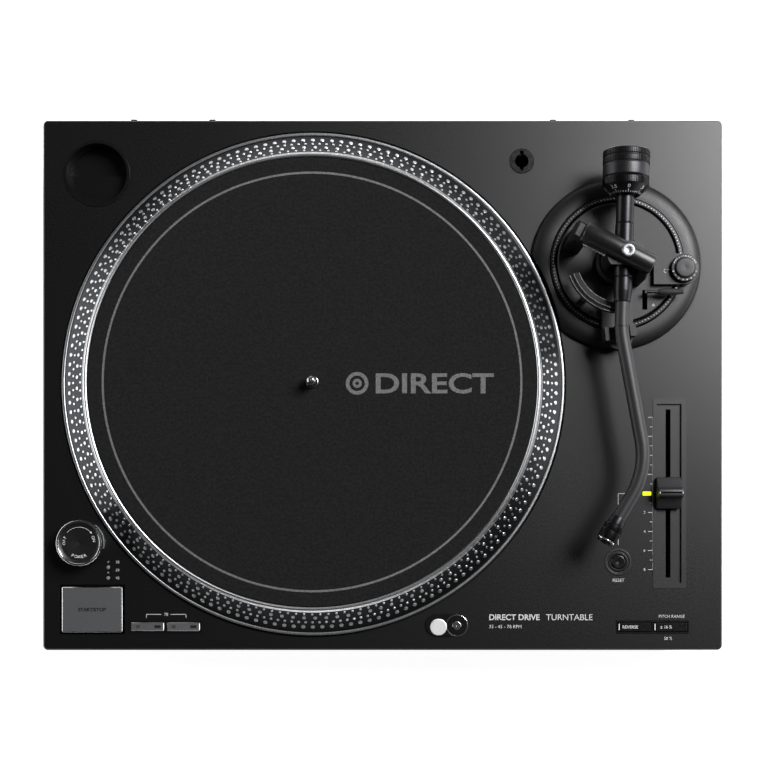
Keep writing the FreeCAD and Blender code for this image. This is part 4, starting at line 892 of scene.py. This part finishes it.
class Rest(bpy.types.Operator):
    """The lift rail, the cue lever, the anti-skate knob, the clip's bright spring, and painted highlights on
    the rest's side and the rail's edges.
    """

    bl_idname = "turntable.rest"
    bl_label = "Lift and anti-skate"

    def execute(self, context):
        finish = finishes(context)
        # the rail's top has three low ridges; the shelf lies inside it, and the post carries both
        ridge = np.linspace(0, 1, 25)
        top = np.column_stack([35.9 - 3.2 * ridge, 120.75 + 0.35 * np.cos(ridge * 3 * TAU)])
        start, sweep = 198.3, 64.4
        rail = swept_sector(np.concatenate([[(32.7, 116.2), (35.9, 116.2)], top]), start, sweep, 60)
        shelf = soften([(28.6, 116.1), (33.4, 116.1), (33.4, 117.9), (28.6, 117.9)], 0.35)
        shelf = swept_sector(shelf, start, sweep, 60)
        turn = math.radians(228)
        place = 32 * np.array([math.cos(turn), math.sin(turn), 0])
        post = turned([(0, 94), (2.45, 94), (2.45, 117.5), (0, 117.5)], 32) + place
        # thin bright lines along the top edges of the rail and the shelf, painted highlights
        arcs = np.radians(np.linspace(199, 262, 50))
        edge_highlights = [tube(np.column_stack([r * np.cos(arcs), r * np.sin(arcs), np.full(50, z)]), 0.28, 10)
                 for r, z in ((35.6, 120.85), (32.9, 120.85), (28.8, 117.7))]
        piece("lift_edges_painted_highlight", [g + PIVOT for g in edge_highlights], [finish["light_metal_and_highlights"]], "lift_bar")
        piece("lift_rail", [g + PIVOT for g in (rail, shelf, post)], [finish["rubber"]], "lift_bar",
              ["lift_bar"])
        foot, head = np.array([171.9, 54.5, 91.0]), np.array([171.9, 58.7, 109.0])
        pin = tube([foot - [6.9, 0, 0], foot + [7.0, 0, 0]], 1.45, 20)
        level = tube([head, head + [7.6, 0, 0]], 1.15, 20)
        s = np.linspace(0, 1, 18)
        taper = 1.35 + 1.1 * np.sin(np.pi * s**0.75) ** 0.7 * (1 - 0.35 * s)
        grip = tube(head + np.outer(7.3 + 16.6 * s, [1.0, 0, 0]), taper, 28)
        a = (np.arange(20) * TAU / 20)[None, :]
        head = head + [0, 0, 0.6]
        rise = (head - foot) / np.linalg.norm(head - foot)
        side = np.cross(rise, [1.0, 0, 0])
        loop = 1.15 * (np.cos(a)[..., None] * [1.0, 0, 0] + np.sin(a)[..., None] * side)
        stem = closed_ends(np.concatenate([foot + loop, head + loop]))
        piece("cue_lever_rod", [pin, level, stem], [finish["satin"]], "cue_lever", ["cue_lever"])
        piece("cue_lever_grip", [grip], [finish["rubber"]], "cue_lever")
        # stem, knurled skirt, and the raised grip
        outline = soften([(0, 103.6), (2, 103.6), (2, 107.8), (9, 107.8), (9, 110.4), (8.5, 111), (6.9, 111),
                          (6.6, 111.3), (6.3, 112.5), (5.8, 112.9), (0, 113)], 0.25)
        knob = knurled(outline, 60, 0.5, 108.0, 110.6) + SKATE
        piece("anti_skate_cap", [knob], [finish["anodised"], finish["tube"]], "anti_skate_knob",
              ["anti_skate_knob"], paints=[marked(11, *range(5, 10))])
        x, y = SKATE[:2]
        words = [*curved_word("ANTI-SKATING", x, y, 7.75, 90, 1.1, 11.5),
                 *curved_word("01234567", x, y, 7.75, 270, 1.2, 21, inward=True)]
        ink("anti_skate_words", words, 111 + PRINT, finish["bright_ink"], "anti_skate_knob")
        # a bright plate on the rest's side, a painted highlight of its edge
        plate = stacked(0.9, 7.0, 0.3, [(0, 111.2), (0, 120.2), (0.2, 120.8)]) + [-8.0, 0, 0]
        piece("rest_side_painted_highlight", [yawed(plate, REST_TURN, REST)], [finish["nickel"]], "arm_support")
        clip = stacked(1.1, 6.8, 0.3, [(0, 113.2), (0, 125.6), (0.2, 126.1)]) + [8.9, 0, 0]
        piece("clip_spring", [yawed(clip, REST_TURN, REST)], [finish["nickel"]], "rest_clip")
        return {"FINISHED"}


# ---------------------------------------------------------------- tonearm

def arm_route():
    """The tube's centreline: three straight runs, with a wide bend between each two."""
    forward, middle, last = (np.array([-math.sin(yaw), -math.cos(yaw), 0])
                             for yaw in (ARM_YAW, MIDDLE_YAW, HEAD_YAW))
    bend = BEARING + forward * 48.5
    gap = HEAD - bend
    reach = (gap[0] * last[1] - gap[1] * last[0]) / (middle[0] * last[1] - middle[1] * last[0])
    corner = bend + middle * reach
    parts = [BEARING + forward * np.linspace(24.5, 40, 6)[:, None]]
    heading = forward
    for point, after, radius in ((bend, middle, 70.0), (corner, last, 52.0)):
        turn = math.acos(min(1.0, heading @ after))
        pull = radius * math.tan(turn / 2)
        inward = (after - heading) / np.linalg.norm(after - heading)
        centre = point + inward * radius / math.cos(turn / 2)
        spoke = point - heading * pull - centre
        a = (math.copysign(1, np.cross(heading, after)[2]) * np.linspace(0, turn, 28))[:, None]
        parts.append(centre + spoke * np.cos(a) + np.cross([0, 0, 1.0], spoke) * np.sin(a))
        heading = after
    stop = HEAD - last * 1.2
    run = parts[-1][-1]
    parts.append(run + (stop - run) * np.linspace(0.02, 1, 30)[:, None])
    return np.concatenate(parts)


class Arm(bpy.types.Operator):
    """The curved tube, its hub with the rear stub, the headshell socket and the collet nut."""

    bl_idname = "turntable.arm"
    bl_label = "Tonearm"

    def execute(self, context):
        finish = finishes(context)
        route = arm_route()
        # heights run forward: rear stub, two turned grooves, and the cone that takes the tube
        hub = [(0, -57), (5.6, -57), (5.6, -20.6), (5.3, -20.4), (5.3, -20.0), (5.9, -19.8), (5.9, 13.6),
               (5.5, 13.9), (5.5, 14.3), (5.9, 14.5), (5.9, 22.6), (5.1, 29.6), (4.7, 30.0), (0, 30)]
        socket = [(0, -5), (4.8, -5), (5.4, -0.4), (5.4, 14), (4.1, 14), (4.1, 4), (0, 4)]
        piece("arm_tube_bent", [tube(route, 4.5, 48)], [finish["tube"]], "tonearm",
              ["arm_tube"])
        piece("arm_hub_turned", [along(turned(soften(hub, 0.3), 64), BEARING, ARM_YAW)], [finish["anodised"]],
              "tonearm", ["arm_hub"])
        pin = turned([(0, 3.0), (0.45, 3.0), (0.45, 4.6), (0, 4.7)], 12)
        pins = [along(pin + [dx, dy, 0], HEAD, HEAD_YAW) for dx in (-1.7, 1.7) for dy in (-1.7, 1.7)]
        piece("headshell_socket_turned", [along(turned(soften(socket, 0.2), 64), HEAD, HEAD_YAW)],
              [finish["anodised"]], "tonearm", ["headshell_socket"])
        piece("socket_contacts", pins, [finish["nickel"]], "tonearm")
        near = int(np.argmin(np.abs(route[:, 1] - 33.4)))
        piece("tube_collar", [tube(route[near - 1 : near + 1], 4.9, 48)], [finish["weight"]], "tonearm")
        outline = soften([(5.75, 1), (6.4, 1), (6.4, 4.4), (6.0, 4.6), (6.0, 5.2), (6.4, 5.4), (6.4, 10.6),
                          (5.9, 10.9), (5.9, 11.4), (6.4, 11.6), (6.4, 12.4), (5.75, 12.5)], 0.12)
        nut = along(knurled(outline, 48, 0.35, 1.0, 10.9), HEAD, HEAD_YAW)
        piece("collet_nut_knurled", [nut], [finish["anodised"], finish["bevel"]], "collet_nut",
              ["collet_nut"], ring=True, paints=[marked(12, 9, 10)])
        return {"FINISHED"}


class Weight(bpy.types.Operator):
    """The counterweight with its two knurled bands, and the tracking force dial with its scale."""

    bl_idname = "turntable.weight"
    bl_label = "Counterweight"
    cone_radius = 11.5  # the middle of the dial's cone, where a print keeps its width

    def execute(self, context):
        finish = finishes(context)
        # heights run forward, so the rear face is the lowest
        outline = [(0, -66.6), (14.2, -66.6), (15, -65.8), (15, -62.4), (14.3, -62.1), (14.3, -61.6),
                   (15, -61.3), (15, -57.8), (14.4, -57.4), (14.4, -56.9), (14.8, -56.6), (14.8, -49.6),
                   (14.2, -48.9), (8.4, -48.9), (8.4, -62.3), (0, -62.3)]
        body = knurled(soften(outline, 0.3), 72, 0.75, -65.9, -57.7)
        piece("counterweight_knurled", [along(body, BEARING, ARM_YAW)], [finish["weight"]], "counterweight",
              ["counterweight"])
        outline = soften([(8.4, -48.6), (14.6, -48.6), (15, -48.0), (15, -43.8), (14.4, -43.2), (8.9, -38.0),
                          (8.4, -38.0)], 0.25)
        dial = knurled(outline, 80, 0.6, -48.2, -43.7)
        piece("force_dial_knurled", [along(dial, BEARING, ARM_YAW)], [finish["anodised"]], "force_dial",
              ["force_dial"], ring=True)
        parts = [bar(a, 0.6, a, 3.0 if i % 5 == 0 else 1.7, 0.30) for i, a in enumerate(self.spots(40))]
        labels = ("0", ".5", "1", "1.5", "2", "2.5", "3", "3.5")
        parts += [word(text, a, 5.2, 2.3) for text, a in zip(labels, self.spots(8))]
        ink("dial_scale", [(self.on_cone(p), f) for p, f in parts], 0.0, finish["bright_ink"], "force_dial")
        return {"FINISHED"}

    def spots(self, count):
        """Places round the dial, as lengths on a circle of the cone's middle radius."""
        return (np.arange(count) * TAU / count + math.pi / 2) * self.cone_radius

    def on_cone(self, points):
        """Wraps a flat print on the dial's cone: x becomes an angle, and y runs back along the slope.

        The cone goes from radius 8.9 at -38.0 to 14.4 at -43.2, a slope of 7.6.
        """
        a = np.pi - points[:, 0] / self.cone_radius
        share = points[:, 1] / 7.6
        r = 8.9 + (14.4 - 8.9) * share + 2 * PRINT
        s = -38.0 + (-43.2 + 38.0) * share + 0.04
        return along(np.column_stack([r * np.cos(a), r * np.sin(a), s]), BEARING, ARM_YAW)


# ---------------------------------------------------------------- stage

class Stage(bpy.types.Operator):
    """Floor, soft lights and camera."""

    bl_idname = "turntable.stage"
    bl_label = "Stage"

    def execute(self, context):
        scene = context.scene
        look = scene.turntable_look
        scene.view_settings.view_transform = "Standard"
        reach = 4000.0
        corners = reach * np.array([[-1, -1, 0], [1, -1, 0], [1, 1, 0], [-1, 1, 0]])
        floor = make_mesh("floor", corners, [[0, 1, 2, 3]], flat=True)
        # opal acrylic lit from below, so that the ground reads plain and shadows stay faint
        floor.data.materials.append(surface("opal_acrylic_table", look.floor_color, 0.8, grain_mm=2.0,
                                            depth_mm=0.02, Specular_IOR_Level=0.1,
                                            Emission_Color=linear(look.floor_color), Emission_Strength=1.0))
        scene.world = bpy.data.worlds.new("studio")
        scene.world.use_nodes = True
        background = scene.world.node_tree.nodes["Background"]
        background.inputs["Color"].default_value = (1, 1, 1, 1)
        background.inputs["Strength"].default_value = 0.03
        for name, place, size, power in (
            ("key_box", (1.15, 0.76, 1.65), (0.85, 1.10), 68.0),
            ("left_box", (-2.0, 0.2, 0.50), (2.0, 0.7), 15.0),
            ("right_box", (2.1, 0.0, 0.50), (1.2, 0.6), 7.0),
            ("rear_box", (-0.4, 2.1, 0.55), (1.8, 0.6), 3.0),
        ):
            light = bpy.data.lights.new(name, "AREA")
            light.shape = "RECTANGLE"
            light.size, light.size_y = size
            light.energy = power
            holder = bpy.data.objects.new(name, light)
            holder.location = place
            scene.collection.objects.link(holder)
            aim = np.array([0.0, 0.0, 0.1]) - np.array(place)
            holder.rotation_euler = (math.acos(-aim[2] / np.linalg.norm(aim)), 0.0,
                                     math.atan2(aim[1], aim[0]) - math.pi / 2)
        # it looks straight down from in front of the middle, and its frame is shifted back over the deck
        camera = bpy.data.cameras.new("camera")
        camera.sensor_width = 36.0
        camera.lens = 63.7
        camera.shift_y = 0.192
        camera.clip_end = 20.0
        holder = bpy.data.objects.new("camera", camera)
        holder.location = (0.0009, -0.0974, DECK * MM + look.camera_height)
        scene.collection.objects.link(holder)
        scene.camera = holder
        return {"FINISHED"}


MAKERS = (FrameFinishes, Platter, SlipMat, DeckPrint, Controls, PowerTower, Lamps, Fader, ArmBase, Bridge,
          Rest, Arm, Weight, Stage)


class TurntablePanel(bpy.types.Panel):
    """Lists the turntable's settings and makers."""

    bl_idname = "VIEW3D_PT_turntable"
    bl_label = "Turntable"
    bl_space_type = "VIEW_3D"
    bl_region_type = "UI"
    bl_category = "Turntable"

    def draw(self, context):
        look = context.scene.turntable_look
        for name in TurntableLook.__annotations__:
            self.layout.prop(look, name)
        for maker in MAKERS:
            self.layout.operator(maker.bl_idname)


CLASSES = (TurntableLook, *MAKERS, TurntablePanel)


def register():
    for cls in CLASSES:
        bpy.utils.register_class(cls)
    bpy.types.Scene.turntable_look = bpy.props.PointerProperty(type=TurntableLook)


def unregister():
    del bpy.types.Scene.turntable_look
    for cls in reversed(CLASSES):
        bpy.utils.unregister_class(cls)


def main():
    register()
    for maker in MAKERS:
        getattr(bpy.ops.turntable, maker.bl_idname.split(".")[1])()


if __name__ == "__main__":
    main()
